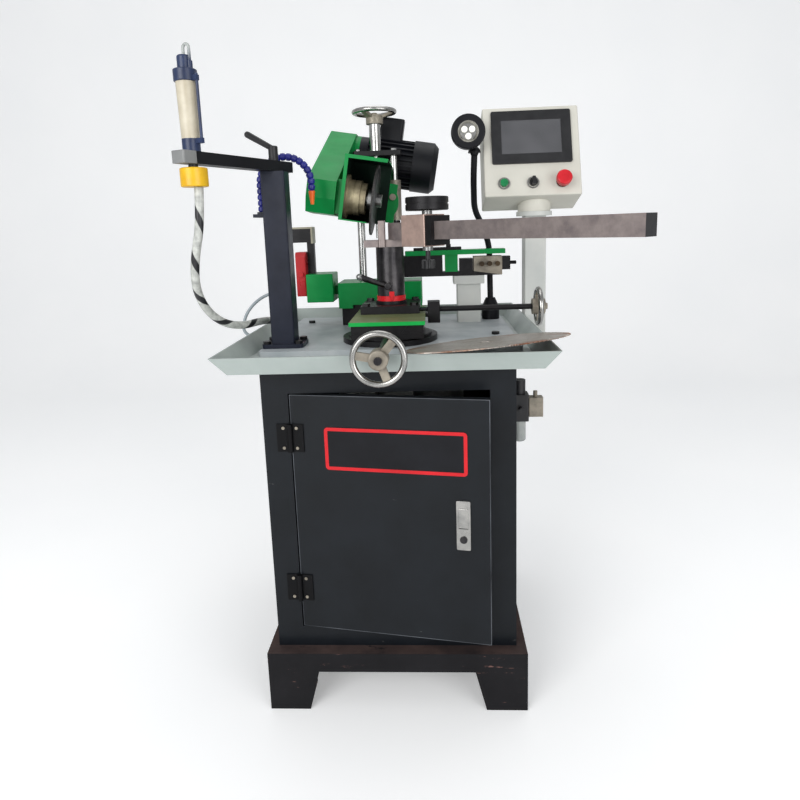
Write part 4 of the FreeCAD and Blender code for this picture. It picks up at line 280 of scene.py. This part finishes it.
brightGreen = enamel("slideEdgeGreen", (10, 176, 76), (4, 154, 64), (150, 190, 150),
                     rough=(0.26, 0.4), wear=0.76)
olive = enamel("slideTopOlive", (122, 128, 88), (102, 110, 74), (164, 164, 144),
               rough=(0.35, 0.5), wear=0.72, shine=0.2)
trayGrey = enamel("trayEnamel", (176, 184, 180), (160, 168, 166), (116, 112, 106),
                  rough=(0.32, 0.46), wear=0.76)
lipGrey = enamel("trayLipEnamel", (174, 183, 179), (162, 172, 168), (124, 122, 116),
                 rough=(0.32, 0.46), wear=0.78)
tableGrey = enamel("tableEnamel", (188, 192, 194), (158, 166, 170), (112, 106, 98),
                   rough=(0.35, 0.55), wear=0.69)
warmWhite = enamel("warmWhiteCoat", (208, 206, 196), (197, 195, 185), (176, 170, 158),
                   rough=(0.4, 0.52), wear=0.8, shine=0.25)
postWhite = enamel("postWhiteCoat", (200, 201, 196), (184, 187, 184), (150, 146, 138),
                   rough=(0.38, 0.5), wear=0.78, shine=0.25)
cream = enamel("creamPlate", (186, 180, 160), (162, 156, 138), (112, 108, 96), rough=(0.4, 0.55), wear=0.74)
lightEnd = enamel("armEndGrey", (140, 141, 140), (108, 110, 112), (70, 70, 72), rough=(0.35, 0.5), wear=0.72)
redEnamel = enamel("switchRed", (188, 18, 26), (158, 10, 18), (110, 40, 40), rough=(0.25, 0.36), wear=0.8)
ringRed = enamel("ringRed", (216, 26, 36), (188, 16, 26), (90, 20, 20), rough=(0.3, 0.42), wear=0.76)

greySteel = machined("groundSteel", (176, 176, 174), (136, 136, 136))
pinkSteel = machined("warmGroundSteel", (206, 178, 166), (176, 150, 140),
                     stretch=(1, 1, 26), rough=(0.34, 0.5), grain=130.0, metal=0.6)
barSteel = machined("barSteel", (158, 146, 142), (128, 118, 118),
                    stretch=(1, 1, 40), rough=(0.3, 0.46), grain=200.0, metal=0.7)
darkSteel = machined("gunSteel", (78, 76, 77), (46, 45, 48),
                     stretch=(1, 1, 0.05), rough=(0.26, 0.4), grain=240.0)
blackSteel = machined("blackOxide", (34, 33, 35), (20, 20, 22),
                      stretch=(1, 1, 8), rough=(0.34, 0.5), grain=140.0, metal=0.6)
castGrey = machined("castGrey", (158, 150, 136), (120, 114, 104),
                    stretch=(1, 1, 1), rough=(0.42, 0.6), grain=320.0, metal=0.6)
airFitting = machined("airFittingBrass", (84, 68, 50), (40, 34, 28),
                      stretch=(1, 1, 1), rough=(0.3, 0.45), grain=200.0, metal=0.7)
chrome = machined("polishedChrome", (184, 182, 178), (146, 146, 144),
                  stretch=(1, 1, 1), rough=(0.17, 0.3), grain=60.0)
rodChrome = machined("rodChrome", (196, 196, 194), (158, 158, 156),
                     stretch=(1, 1, 0.05), rough=(0.14, 0.24), grain=300.0)
paleBrass = machined("paleBrass", (196, 184, 150), (140, 128, 104),
                     stretch=(0.05, 1, 1), rough=(0.28, 0.44), grain=300.0, metal=0.55)

blackPlastic = moulded("blackPlastic", (26, 26, 29), (16, 16, 19))
navyCap = moulded("navyCap", (36, 54, 92), (24, 36, 66), rough=(0.3, 0.42))
ivory = moulded("ivoryTube", (206, 198, 178), (184, 174, 152), rough=(0.3, 0.42))
clearTube = moulded("clearTube", (206, 210, 206), (180, 186, 184), rough=(0.15, 0.25), clear=0.35)
yellowPlastic = moulded("yellowCap", (236, 188, 20), (212, 160, 10), rough=(0.28, 0.4))
hoseBlue = moulded("hoseBlue", (34, 40, 140), (20, 24, 98), rough=(0.3, 0.45))
nozzleOrange = moulded("nozzleOrange", (240, 110, 24), (214, 88, 12), rough=(0.3, 0.42))
redButton = moulded("stopRed", (206, 24, 38), (176, 12, 24), rough=(0.24, 0.34))
greenButton = moulded("startGreen", (18, 132, 76), (8, 106, 58), rough=(0.22, 0.34))
greyHose = moulded("greyHose", (176, 186, 190), (150, 160, 166), rough=(0.25, 0.4), clear=0.2)


# saw blade: ground steel, with rust in blotches that grow toward the rim
blade = {
    "clean": 120.0, "rusty": 225.0,         # distances from the middle
    "cleanLess": -0.12, "rustyMore": 0.16,  # added to the blotches there
    "blotches": 16.0, "fine": 150.0,
    "steelSpan": (0.35, 0.65), "patchSpan": (0.46, 0.66),
    "rough": (0.3, 0.55), "metal": 0.65,
}


def bladeSteel():
    mat, tree, shader = blank("bladeSteel")
    spot = objectSpace(tree)
    blotch = noise(tree, spot, blade["blotches"], detail=8.0, rough=0.7)
    fine = noise(tree, spot, blade["fine"], detail=6.0, rough=0.6)
    hub = tree.nodes.new("ShaderNodeVectorMath")
    hub.operation = "DISTANCE"
    low, high = (np.array(corner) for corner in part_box("saw_blade"))
    hub.inputs[1].default_value = ((low + high) / 2).tolist()
    tree.links.new(spot, hub.inputs[0])
    outward = spread(tree, hub.outputs["Value"], blade["cleanLess"], blade["rustyMore"],
                     span=(blade["clean"] * mm, blade["rusty"] * mm))
    total = tree.nodes.new("ShaderNodeMath")
    total.operation = "ADD"
    tree.links.new(outward, total.inputs[0])
    tree.links.new(blotch, total.inputs[1])
    steel = ramp(tree, fine, rgb(146, 140, 134), rgb(182, 175, 166), blade["steelSpan"])
    rust = ramp(tree, fine, rgb(112, 68, 44), rgb(160, 110, 78))
    patch = ramp(tree, total.outputs["Value"], black, white, blade["patchSpan"])
    coloured(tree, shader, blendColour(tree, patch, steel, rust))
    polished(tree, shader, blotch, blade["rough"])
    shader.inputs["Metallic"].default_value = blade["metal"]
    bumped(tree, shader, fine, height=0.0002, strength=0.25)
    return mat


# grit: black resin full of pale specks
grit = {"specks": 1400.0, "speckSpan": (0.5, 0.75), "gloss": 90.0, "rough": (0.5, 0.7)}


def gritRim():
    mat, tree, shader = blank("gritRim")
    spot = objectSpace(tree)
    speck = noise(tree, spot, grit["specks"], detail=2.0)
    coloured(tree, shader, ramp(tree, speck, rgb(26, 25, 26), rgb(110, 106, 100), grit["speckSpan"]))
    polished(tree, shader, noise(tree, spot, grit["gloss"]), grit["rough"])
    bumped(tree, shader, speck, height=0.0004, strength=0.4)
    return mat


# screen that is off: dark glossy glass, whose grey colour in soft clouds is a painted reflection
glass = {"reflectionClouds": 7.0, "gloss": 40.0, "rough": (0.06, 0.14), "coat": 0.3}


def screenGlass():
    mat, tree, shader = blank("screenGlass")
    spot = objectSpace(tree)
    reflectionClouds = noise(tree, spot, glass["reflectionClouds"], detail=2.0)
    # painted reflection: grey clouds in the glass's colour
    coloured(tree, shader, ramp(tree, reflectionClouds, rgb(70, 71, 74), rgb(92, 92, 95)))
    polished(tree, shader, noise(tree, spot, glass["gloss"]), glass["rough"])
    shader.inputs["Coat Weight"].default_value = glass["coat"]
    return mat


# lamp lenses: pale and faceted, with a faint glow of their own
led = {"facets": 240.0, "rough": (0.08, 0.2), "glow": (1.0, 0.98, 0.92, 1.0), "glowStrength": 0.25}


def ledGlow():
    mat, tree, shader = blank("ledLens")
    facet = noise(tree, objectSpace(tree), led["facets"], detail=2.0)
    coloured(tree, shader, ramp(tree, facet, rgb(214, 214, 204), rgb(250, 250, 244)))
    polished(tree, shader, facet, led["rough"])
    shader.inputs["Emission Color"].default_value = led["glow"]
    shader.inputs["Emission Strength"].default_value = led["glowStrength"]
    bumped(tree, shader, facet, height=0.0004, strength=0.3)
    return mat


bladeRust = bladeSteel()
gritBlack = gritRim()
glassDark = screenGlass()
ledWhite = ledGlow()
print("finishes made")


# cords repeat the routes of the solids, as control points of smooth splines
spline = {"order": 3, "steps": 16, "roundSteps": 6}
bundle = {
    "radius": 9.0,
    "around": 24,                 # points round the tube
    "steady": (0.62, -0.6, 0.5),  # the circles' sides are square to this direction
    "wrapPitch": 92.0,
    "bandScale": 0.5, "bandSpan": (0.8, 0.86), "tone": 90.0, "rough": (0.28, 0.44),
    "points": [(-357, -329, 1199.4), (-360, -329, 1130), (-382, -318, 1060), (-397, -292, 1000),
               (-396, -250, 946), (-374, -204, 906), (-346, -150, 891), (-324, -88, 892),
               (-308, -26, 886), (-296, 24, 866), (-294, 40, 852), (-294, 40, 832.3)],
    "stays": (-324, -88, 892),     # below this it stays with the table
    "swings": (-357, -329, 1190),  # above this it goes with the arm
}
airLine = {
    "radius": 4.0,
    "points": [(-262, -72, 956), (-262, 0, 956), (-330, 2, 950), (-384, 0, 902), (-396, 0, 838),
               (-345.8, 0, 838)],
}


# wrapped bundle: a black band winds round pale sleeve, drawn on the tube's own map
def wrapSleeve():
    mat, tree, shader = blank("wrapSleeve")
    where = tree.nodes.new("ShaderNodeUVMap")
    where.uv_map = "along"
    wave = addNode(tree, "ShaderNodeTexWave", {"Scale": bundle["bandScale"], "Distortion": 0.0})
    wave.wave_type = "BANDS"
    wave.bands_direction = "DIAGONAL"
    tree.links.new(where.outputs["UV"], wave.inputs["Vector"])
    tone = noise(tree, objectSpace(tree), bundle["tone"])
    pale = ramp(tree, tone, rgb(160, 162, 158), rgb(206, 208, 202))
    dark = ramp(tree, tone, rgb(24, 24, 26), rgb(44, 44, 48))
    band = ramp(tree, wave.outputs["Fac"], black, white, bundle["bandSpan"])
    coloured(tree, shader, blendColour(tree, band, pale, dark))
    polished(tree, shader, tone, bundle["rough"])
    bumped(tree, shader, wave.outputs["Fac"], height=0.002, strength=0.6)
    return mat


def splineCurve(name, points, bevel):
    data = bpy.data.curves.new(name, "CURVE")
    data.dimensions = "3D"
    data.resolution_u = spline["steps"]
    data.bevel_depth = bevel
    data.bevel_resolution = spline["roundSteps"]
    line = data.splines.new("NURBS")
    line.points.add(len(points) - 1)
    flat = np.column_stack([np.array(points, float) * mm, np.ones(len(points))])
    line.points.foreach_set("co", flat.ravel())
    line.order_u = spline["order"]
    line.use_endpoint_u = True
    obj = bpy.data.objects.new(name, data)
    bpy.context.scene.collection.objects.link(obj)
    return obj


def splineLine(points):
    # centreline of the smooth spline, as mesh points in order
    guide = splineCurve("guideLine", points, 0.0)
    line = bpy.data.meshes.new_from_object(guide)
    flat = np.empty(len(line.vertices) * 3)
    line.vertices.foreach_get("co", flat)
    bpy.data.objects.remove(guide)
    return flat.reshape(-1, 3)


def tubeSurface(path, radius, around, steady):
    # a circle carried along a path, and how far along the path each circle stands
    way = np.gradient(path, axis=0)
    way /= np.linalg.norm(way, axis=1)[:, None]
    side = np.cross(way, np.array(steady))
    side /= np.linalg.norm(side, axis=1)[:, None]
    other = np.cross(way, side)
    turn = np.linspace(0, 2 * np.pi, around, endpoint=False)
    ring = np.cos(turn)[None, :, None] * side[:, None, :] + np.sin(turn)[None, :, None] * other[:, None, :]
    run = np.concatenate([[0], np.cumsum(np.linalg.norm(np.diff(path, axis=0), axis=1))])
    return path[:, None, :] + radius * ring, run


def makeBundle():
    path = splineLine(bundle["points"])
    radius = bundle["radius"] * mm
    ring, run = tubeSurface(path, radius, bundle["around"], bundle["steady"])
    ring = np.concatenate([ring, ring[:, :1]], axis=1)  # seam repeated so that the map closes
    cols = bundle["around"] + 1
    turns = np.linspace(0, 1, cols)[None, :]
    pitches = (run / (bundle["wrapPitch"] * mm))[:, None]
    # one winding: a full period of the wave for each turn round and each pitch along
    period = 2 * np.pi / (10 * bundle["bandScale"])  # Blender's bands have ten radians to a scaled unit
    winding = (turns + pitches) * period
    uv = np.stack([winding, np.zeros_like(winding)], -1).reshape(-1, 2)
    obj = newMesh("wrappedBundle", ring.reshape(-1, 3), gridFaces(len(path), cols), None, wrapSleeve(), uv=uv)
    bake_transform(obj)
    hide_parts("cable_bundle")


def makeAirLine():
    obj = splineCurve("airLine", airLine["points"], airLine["radius"] * mm)
    obj.data.materials.append(greyHose)
    obj.data.use_fill_caps = True
    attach(obj, "base")
    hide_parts("air_hose")
    path = splineLine(airLine["points"])


makeBundle()
makeAirLine()


# painted nodes: where a node has several finishes, tests pick the faces of each
facing = 0.9  # a face whose normal has this much of an axis looks that way


def faceSpots(obj):
    # centres x, y, z in millimetres and normals nx, ny, nz of all faces, as arrays
    mesh = obj.data
    centre = np.empty(len(mesh.polygons) * 3)
    normal = np.empty(len(mesh.polygons) * 3)
    mesh.polygons.foreach_get("center", centre)
    mesh.polygons.foreach_get("normal", normal)
    x, y, z = centre.reshape(-1, 3).T / mm
    nx, ny, nz = normal.reshape(-1, 3).T
    return SimpleNamespace(x=x, y=y, z=z, nx=nx, ny=ny, nz=nz)


def paint(name, base, *parts):
    # the base finish all over, then each further finish on the faces that its test picks
    obj = nodes[name]
    obj.data.materials.clear()
    obj.data.materials.append(base)
    index = np.zeros(len(obj.data.polygons), int)
    if parts:
        spots = faceSpots(obj)
        for number, (material, test) in enumerate(parts, 1):
            obj.data.materials.append(material)
            index[test(spots)] = number
    obj.data.polygons.foreach_set("material_index", index)
    obj.data.update()


def apart(first, second, centre):
    # distance from a centre, in the plane of two coordinates
    return np.hypot(first - centre[0], second - centre[1])


def between(value, low, high):
    return (value > low) & (value < high)


def turned(first, second, axis, degrees):
    # two coordinates from an axis: along the direction at this angle, and square to it
    a, b = first - axis[0], second - axis[1]
    cos, sin = math.cos(math.radians(degrees)), math.sin(math.radians(degrees))
    return a * cos + b * sin, b * cos - a * sin


# the door stands ajar; its places are given as if it were shut
door = {
    "pin": (-218.0, -284.5), "ajar": 9.4, "face": -279.0,
    "leafRight": -187.0, "plateFront": -279.2,
    "latch": (162.0, 477.0), "latchHalf": (15.6, 57.0),
    "key": (162.0, 445.0), "keyRadius": 8.3, "keyFront": -283.2,
    "leafScrews": -203.0, "fixedScrews": -233.0, "screwRadius": 4.2, "screwFront": -282.2,
    # painted shade: the latch lever's faces that look up or down are dark, for the shaded slots above and
    # below it
    "leverShadeFacing": 0.7,  # latch lever: dark on faces that look up or down by this much
}
stand = {
    "ledge": 144.0,                         # plinth
    "bowlTop": 649.0, "valveLeft": 322.5,   # air unit
    "lipFront": -330.0, "lipFacing": -0.4,  # drip tray
}


def shutDoor(f):
    x, y = turned(f.x, f.y, door["pin"], -door["ajar"])
    return door["pin"][0] + x, door["pin"][1] + y


def hingeLeaf(f):
    x, y = shutDoor(f)
    return (x < door["leafRight"]) & (y < door["plateFront"])


def latchPlate(f):
    x, y = shutDoor(f)
    wide, high = door["latchHalf"]
    inside = (abs(x - door["latch"][0]) < wide) & (abs(f.z - door["latch"][1]) < high)
    return inside & (y < door["plateFront"])


def leafScrews(f):
    x, y = shutDoor(f)
    return (abs(x - door["leafScrews"]) < door["screwRadius"]) & (y < door["screwFront"])


def latchKey(f):
    x, y = shutDoor(f)
    return (apart(x, f.z, door["key"]) < door["keyRadius"]) & (y < door["keyFront"])


def fixedScrews(f):
    return (abs(f.x - door["fixedScrews"]) < door["screwRadius"]) & (f.y < door["screwFront"])


def paintStand():
    paint("base_frame", plinthBlack, (ledgeDust, lambda f: (f.nz > facing) & (f.z > stand["ledge"])))
    paint("cabinet_shell", blackBlue)
    paint("cabinet_door", blackBlue, (hingeBlack, hingeLeaf), (chrome, latchPlate), (castGrey, leafScrews),
          (darkSteel, latchKey))
    paint("door_hinges", hingeBlack, (castGrey, fixedScrews))
    # painted shade: top and bottom faces of the lever dark, for the shaded slots round it
    paint("latch_lever", chrome, (blackSteel, lambda f: abs(f.nz) > door["leverShadeFacing"]))
    paint("coolant_tank", greySteel)
    paint("control_panel", postWhite)
    paint("air_unit", blackPlastic,
          (clearTube, lambda f: f.z < stand["bowlTop"]),
          (castGrey, lambda f: f.x > stand["valveLeft"]))
    paint("drip_tray", trayGrey, (lipGrey, lambda f: (f.ny < stand["lipFacing"]) & (f.y < stand["lipFront"])))
    paint("table_plate", tableGrey)
    paint("table_bolts", blackSteel)


arm = {
    "axis": (-258.0, -100.0), "turn": 245.0,
    "lightRun": 255.2,  # the end of the arm is pale beyond this
    "tubeRun": 252.0, "tubeLow": 1292.5, "tubeHigh": 1398.0, "tubeRadius": 20.4, "loopLow": 1448.0,
    "capTop": 1237.4,
    "nozzleLeft": -205.0, "nozzleTop": 1202.5,
}


def armEnd(f):
    return turned(f.x, f.y, arm["axis"], arm["turn"])[0] > arm["lightRun"]


def mistBody(f):
    along, aside = turned(f.x, f.y, arm["axis"], arm["turn"])
    near = apart(along, aside, (arm["tubeRun"], 0)) < arm["tubeRadius"]
    return near & between(f.z, arm["tubeLow"], arm["tubeHigh"])


def paintMast():
    paint("mast", mastBlack)
    paint("swing_arm", deepBlack, (lightEnd, armEnd))
    paint("arm_lever", blackPlastic)
    paint("mist_tube", navyCap, (ivory, mistBody), (clearTube, lambda f: f.z > arm["loopLow"]))
    paint("yellow_cap", yellowPlastic, (blackPlastic, lambda f: f.z > arm["capTop"]))
    paint("coolant_hose", hoseBlue,
          (nozzleOrange, lambda f: (f.x > arm["nozzleLeft"]) & (f.z < arm["nozzleTop"])))


slide = {
    "edgeLow": 883.0, "edgeHigh": 893.0, "edgeRight": 84.5,
    "frontHub": (-5.0, 857.0), "frontRim": 43.0, "frontRimBack": -395.0, "frontShaft": 8.5,
    "sideHub": (-8.0, 900.6), "sideRim": 36.0, "sideShaft": 7.5, "sideShaftRight": 353.0,
    "boltLow": 913.0, "bossRadius": 42.0,
    "pointerBack": 11.2,
    "leverRight": -76.0,
}
bar = {
    "axis": (-5.0, 48.0), "turn": -45.0,
    "capRun": 701.0, "capFacing": 0.6, "screwLow": 1119.5,
    "plateRun": 165.2, "collarLow": 1136.5, "bossHigh": 1059.5,
}


def slideEdge(f):
    return between(f.z, slide["edgeLow"], slide["edgeHigh"]) & (f.x < slide["edgeRight"])


def frontRim(f):
    return (apart(f.x, f.z, slide["frontHub"]) > slide["frontRim"]) & (f.y < slide["frontRimBack"])


def sideShaft(f):
    return (apart(f.y, f.z, slide["sideHub"]) < slide["sideShaft"]) & (f.x < slide["sideShaftRight"])


def baseBolts(f):
    return (f.z > slide["boltLow"]) & (apart(f.x, f.y, bar["axis"]) > slide["bossRadius"])


def barRun(f):
    return turned(f.x, f.y, bar["axis"], bar["turn"])[0]


def paintSlide():
    paint("slide_base", blackSteel)
    paint("cross_slide", blackSteel,
          (brightGreen, slideEdge),
          (olive, lambda f: slideEdge(f) & (f.nz > facing)))
    paint("front_handwheel", castGrey,
          (chrome, frontRim),
          (darkSteel, lambda f: apart(f.x, f.z, slide["frontHub"]) < slide["frontShaft"]))
    paint("side_handwheel", castGrey,
          (chrome, lambda f: apart(f.y, f.z, slide["sideHub"]) > slide["sideRim"]),
          (blackSteel, sideShaft))
    paint("column_base", blackSteel, (darkSteel, baseBolts))
    paint("scale_ring", ringRed)
    paint("swivel_column", darkSteel, (ringRed, lambda f: f.y < slide["pointerBack"]))
    paint("column_lever", darkSteel, (greySteel, lambda f: f.x < slide["leverRight"]))
    paint("bar_head", barSteel)
    paint("square_bar", barSteel,
          (blackPlastic, lambda f: (barRun(f) > bar["capRun"]) & (f.nx > bar["capFacing"])),
          (blackSteel, lambda f: f.z > bar["screwLow"]))
    paint("bar_carriage", pinkSteel,
          (blackSteel, lambda f: barRun(f) > bar["plateRun"]),
          (greySteel, lambda f: (f.z > bar["collarLow"]) | (f.z < bar["bossHigh"])))
    paint("clamp_disc", blackSteel)
    paint("star_knob", blackPlastic)


head = {
    "pivot": (-44.0, 1180.0), "lean": 9.5,
    "hoodLeft": -76.5, "hoodRoof": 98.5, "hoodFloor": -58.5,  # measured from the pivot, in the leaning axes
    "hoodBack": 207.0,
    "feedLow": 1069.0, "feedRight": -235.0, "feedEnds": (-324.8, -241.2), "feedLid": 1109.5, "legLow": 983.5,
    "liftAxis": (-48.5, 252.0), "topLow": 1307.5, "topHigh": 1321.5, "sleeve": 16.5,
    "wheelRim": 49.0, "wheelLow": 1415.0, "screwHigh": 1395.0,
    "boltBack": 210.5, "boltLeft": -20.0,
    "wheelAxis": (112.0, 1180.0), "gritRadius": 82.0,
}


def hoodInside(f):
    # in the head's own leaning axes, the faces that look into the hood, which are painted dark as shade
    along, rise = turned(f.x, f.z, head["pivot"], -head["lean"])
    lookAlong, lookUp = turned(f.nx, f.nz, (0, 0), -head["lean"])
    left = (lookAlong > facing) & (along < head["hoodLeft"])
    roof = (lookUp < -facing) & (rise > head["hoodRoof"])
    floor = (lookUp > facing) & (rise < head["hoodFloor"])
    wall = (f.ny < -facing) & (f.y > head["hoodBack"])
    return left | roof | floor | wall


def feedUnit(f):
    return (f.z > head["feedLow"]) & (f.x < head["feedRight"])


def feedPlates(f):
    # the end plates and the lid
    first, last = head["feedEnds"]
    return feedUnit(f) & ((f.x < first) | (f.x > last) | (f.z > head["feedLid"]))


def feedBody(f):
    return (feedUnit(f) & ~feedPlates(f)) | between(f.z, head["legLow"], head["feedLow"])


def topPlate(f):
    clear = apart(f.x, f.y, head["liftAxis"]) > head["sleeve"]
    return clear & between(f.z, head["topLow"], head["topHigh"])


def topRim(f):
    return (apart(f.x, f.y, head["liftAxis"]) > head["wheelRim"]) & (f.z > head["wheelLow"])


def paintHead():
    paint("head_base", blackSteel)
    paint("head_saddle", green, (blackSteel, feedBody), (cream, feedPlates))
    paint("switch_box", redEnamel)
    paint("lift_frame", rodChrome, (blackSteel, topPlate))
    paint("top_handwheel", castGrey, (chrome, topRim), (rodChrome, lambda f: f.z < head["screwHigh"]))
    paint("head_slide", castGrey)
    paint("head_plate", green, (castGrey, lambda f: (f.y < head["boltBack"]) & (f.x > head["boltLeft"])))
    # painted shade on the faces inside the hood
    paint("wheel_hood", green, (hoodShadeGreen, hoodInside))
    paint("belt_guard", green)
    paint("motor", motorBlack)
    paint("spindle_housing", paleBrass)
    paint("spindle", greySteel)
    paint("grinding_wheel", blackSteel,
          (gritBlack, lambda f: apart(f.y, f.z, head["wheelAxis"]) > head["gritRadius"]))
    paint("motor_pulley", blackSteel)
    paint("drive_belt", blackPlastic)


toothIndex = {"bracketSides": (221.5, 302.5), "bracketLow": 978.2, "fittingBack": 199.7}


def indexBracket(f):
    left, right = toothIndex["bracketSides"]
    return between(f.x, left, right) & (f.z > toothIndex["bracketLow"])


def paintIndex():
    paint("pedestal", postWhite)
    paint("index_base", blackSteel,
          (castGrey, indexBracket),
          (airFitting, lambda f: f.y < toothIndex["fittingBack"]))
    paint("index_cover", green)
    paint("index_pawl", blackSteel)
    paint("saw_blade", bladeRust)


# the console leans back about the lower front edge of its box
console = {
    "edge": (112.0, 1178.0), "lean": 18.0,
    "bezelOut": 0.4,
    "screen": (375.0, 161.5), "screenHalf": (79.2, 47.2), "screenOut": (3.0, 5.2),
}
lamp = {"axis": (206.0, 1346.0), "bowlRadius": 27.2, "bowlBack": 115.0, "ledRadius": 20.0, "ledBack": 113.9}


def onConsole(f):
    # distance in front of the console's face, and distance up it
    inward, up = turned(f.y, f.z, console["edge"], -console["lean"])
    return -inward, up


def bezels(f):
    return onConsole(f)[0] > console["bezelOut"]


def screen(f):
    out, up = onConsole(f)
    wide, high = console["screenHalf"]
    inside = (abs(f.x - console["screen"][0]) < wide) & (abs(up - console["screen"][1]) < high)
    return inside & between(out, *console["screenOut"])


def lampPart(f, radius, back):
    return (apart(f.x, f.z, lamp["axis"]) < radius) & (f.y < back)


def paintConsole():
    paint("control_post", postWhite)
    paint("control_box", warmWhite, (chrome, bezels))
    paint("touch_panel", blackPlastic, (glassDark, screen))
    paint("green_button", greenButton)
    paint("selector_knob", blackPlastic)
    paint("stop_button", redButton)
    paint("lamp_stand", deepBlack)
    paint("lamp_head", deepBlack,
          (chrome, lambda f: lampPart(f, lamp["bowlRadius"], lamp["bowlBack"])),
          (ledWhite, lambda f: lampPart(f, lamp["ledRadius"], lamp["ledBack"])))


paintStand()
paintMast()
paintSlide()
paintHead()
paintIndex()
paintConsole()
print("nodes painted")


# sign plate on the door, left bare, with its red line
sign = {
    "left": -141.0, "right": 173.0, "low": 587.0, "high": 685.0,
    "corner": 9.0, "leastCorner": 2.0, "steps": 8,
    "thick": 1.2, "inset": 0.6, "line": 7.6, "lineUp": 0.4,
}
# painted highlight: a thin pale line, broken by noise, along the door's edges where light catches them
doorEdge = {
    "left": -217.0, "right": 220.0, "low": 197.0, "high": 756.0,
    "corner": 2.0, "leastCorner": 2.0, "steps": 4,
    "inset": 0.2, "line": 1.3, "up": 0.15,
}


def roundedLoop(plan, margin):
    # rectangle drawn in by a margin, with quarter-circle corners, as one closed loop of (x, z)
    corner = max(plan["corner"] - margin, plan["leastCorner"])
    left, right = plan["left"] + margin + corner, plan["right"] - margin - corner
    low, high = plan["low"] + margin + corner, plan["high"] - margin - corner
    turn = np.linspace(0, np.pi / 2, plan["steps"])
    centres = ((right, high), (left, high), (left, low), (right, low))
    return np.concatenate([np.column_stack([x + corner * np.cos(turn + quarter * np.pi / 2),
                                            z + corner * np.sin(turn + quarter * np.pi / 2)])
                           for quarter, (x, z) in enumerate(centres)])


def onDoor(flat, height):
    # loop of (x, z) at a height over the shut door's face, swung to the door's rest angle
    x, y = turned(flat[:, 0], door["face"] - height, door["pin"], door["ajar"])
    return np.column_stack([door["pin"][0] + x, door["pin"][1] + y, flat[:, 1]])


def bandOnDoor(name, rails, material):
    # closed ring of quads through a list of (loop, height) rails
    rows = np.stack([onDoor(loop, height) for loop, height in rails])
    faces = gridFaces(len(rails), rows.shape[1], closed=True)
    return newMesh(name, rows.reshape(-1, 3) * mm, faces, "door", material, smooth=False)


def raisedLine(plan, base, top):
    # rails of a line along the plan's border: up its outer side, across and down its inner side
    outer = roundedLoop(plan, plan["inset"])
    inner = roundedLoop(plan, plan["inset"] + plan["line"])
    return [(outer, base), (outer, top), (inner, top), (inner, base)]


def makeSign():
    thick = sign["thick"]
    rim = roundedLoop(sign, 0.0)
    centre = np.tile([(sign["left"] + sign["right"]) / 2, (sign["low"] + sign["high"]) / 2], (len(rim), 1))
    plate = bandOnDoor("signPlate", [(rim, 0.0), (rim, thick), (centre, thick)], deepBlack)
    border = bandOnDoor("signBorder", raisedLine(sign, thick, thick + sign["lineUp"]), ringRed)


def makeDoorEdge():
    # painted highlight: the pale line along the door's edges
    bandOnDoor("doorEdgeHighlightStrip", raisedLine(doorEdge, 0.0, doorEdge["up"]), paintedEdgeHighlight)


makeSign()
makeDoorEdge()
print("sign and door edge made")


# studio: pale sweep, one large key, softer fill and a top light, in metres
studio = {
    "width": 9.0, "front": -5.0, "back": 2.6, "bend": 1.4, "height": 5.0, "steps": 24,
    "key": ((-1.9, -3.4, 2.0), 2.4, 88.0),  # place, size, watts
    "fill": ((2.4, -3.2, 1.5), 2.4, 58.0),
    "top": ((0.2, 0.4, 3.6), 2.2, 22.0),
    "target": (0.0, 0.0, 0.8),
    "sky": (0.96, 0.98, 1.0, 1.0),
    "world": 0.5,      # strength as light
    "backdrop": 0.88,  # strength to the camera
    "paperGlow": 0.22,
    "paperClouds": 1.4, "paperSpan": (0.2, 0.8), "paperRough": 0.9,
}


def toCamera(tree, low, high):
    # low for light and high for what the camera sees
    seen = tree.nodes.new("ShaderNodeLightPath")
    return spread(tree, seen.outputs["Is Camera Ray"], low, high)


def palePaper():
    mat, tree, shader = blank("palePaper")
    tone = noise(tree, objectSpace(tree), studio["paperClouds"], detail=2.0)
    coloured(tree, shader, ramp(tree, tone, rgb(240, 241, 242), rgb(246, 246, 246), studio["paperSpan"]))
    shader.inputs["Roughness"].default_value = studio["paperRough"]
    shader.inputs["Emission Color"].default_value = white
    tree.links.new(toCamera(tree, 0.0, studio["paperGlow"]), shader.inputs["Emission Strength"])
    return mat


def makeSweep():
    # floor line bent up into a wall by a quarter circle, carried across the width
    turn = np.linspace(0, np.pi / 2, studio["steps"])
    bend = studio["bend"]
    y = np.concatenate([[studio["front"]], studio["back"] + bend * np.sin(turn), [studio["back"] + bend]])
    z = np.concatenate([[0.0], bend - bend * np.cos(turn), [studio["height"]]])
    x = np.array([-studio["width"], studio["width"]])
    grid = np.stack(np.broadcast_arrays(x[None, :], y[:, None], z[:, None]), -1)
    faces = gridFaces(len(y), len(x))[:, ::-1]
    newMesh("studioSweep", grid.reshape(-1, 3), faces, None, palePaper())


def areaLight(name, place, size, power):
    data = bpy.data.lights.new(name, "AREA")
    data.energy = power
    data.size = size
    light = bpy.data.objects.new(name, data)
    away = np.array(place) - np.array(studio["target"])
    away /= np.linalg.norm(away)
    side = np.cross([0, 0, 1], away)
    side /= np.linalg.norm(side)
    light.matrix_world = placed(place, side, np.cross(away, side), away)
    bpy.context.scene.collection.objects.link(light)


def makeStudio():
    makeSweep()
    for name in ("key", "fill", "top"):
        areaLight(name, *studio[name])
    world = bpy.data.worlds.new("studioWorld")
    world.use_nodes = True
    tree = world.node_tree
    sky = tree.nodes["Background"]
    sky.inputs["Color"].default_value = studio["sky"]
    tree.links.new(toCamera(tree, studio["world"], studio["backdrop"]), sky.inputs["Strength"])
    bpy.context.scene.world = world
    bpy.context.scene.view_settings.view_transform = "Standard"


makeStudio()
print("studio lit")
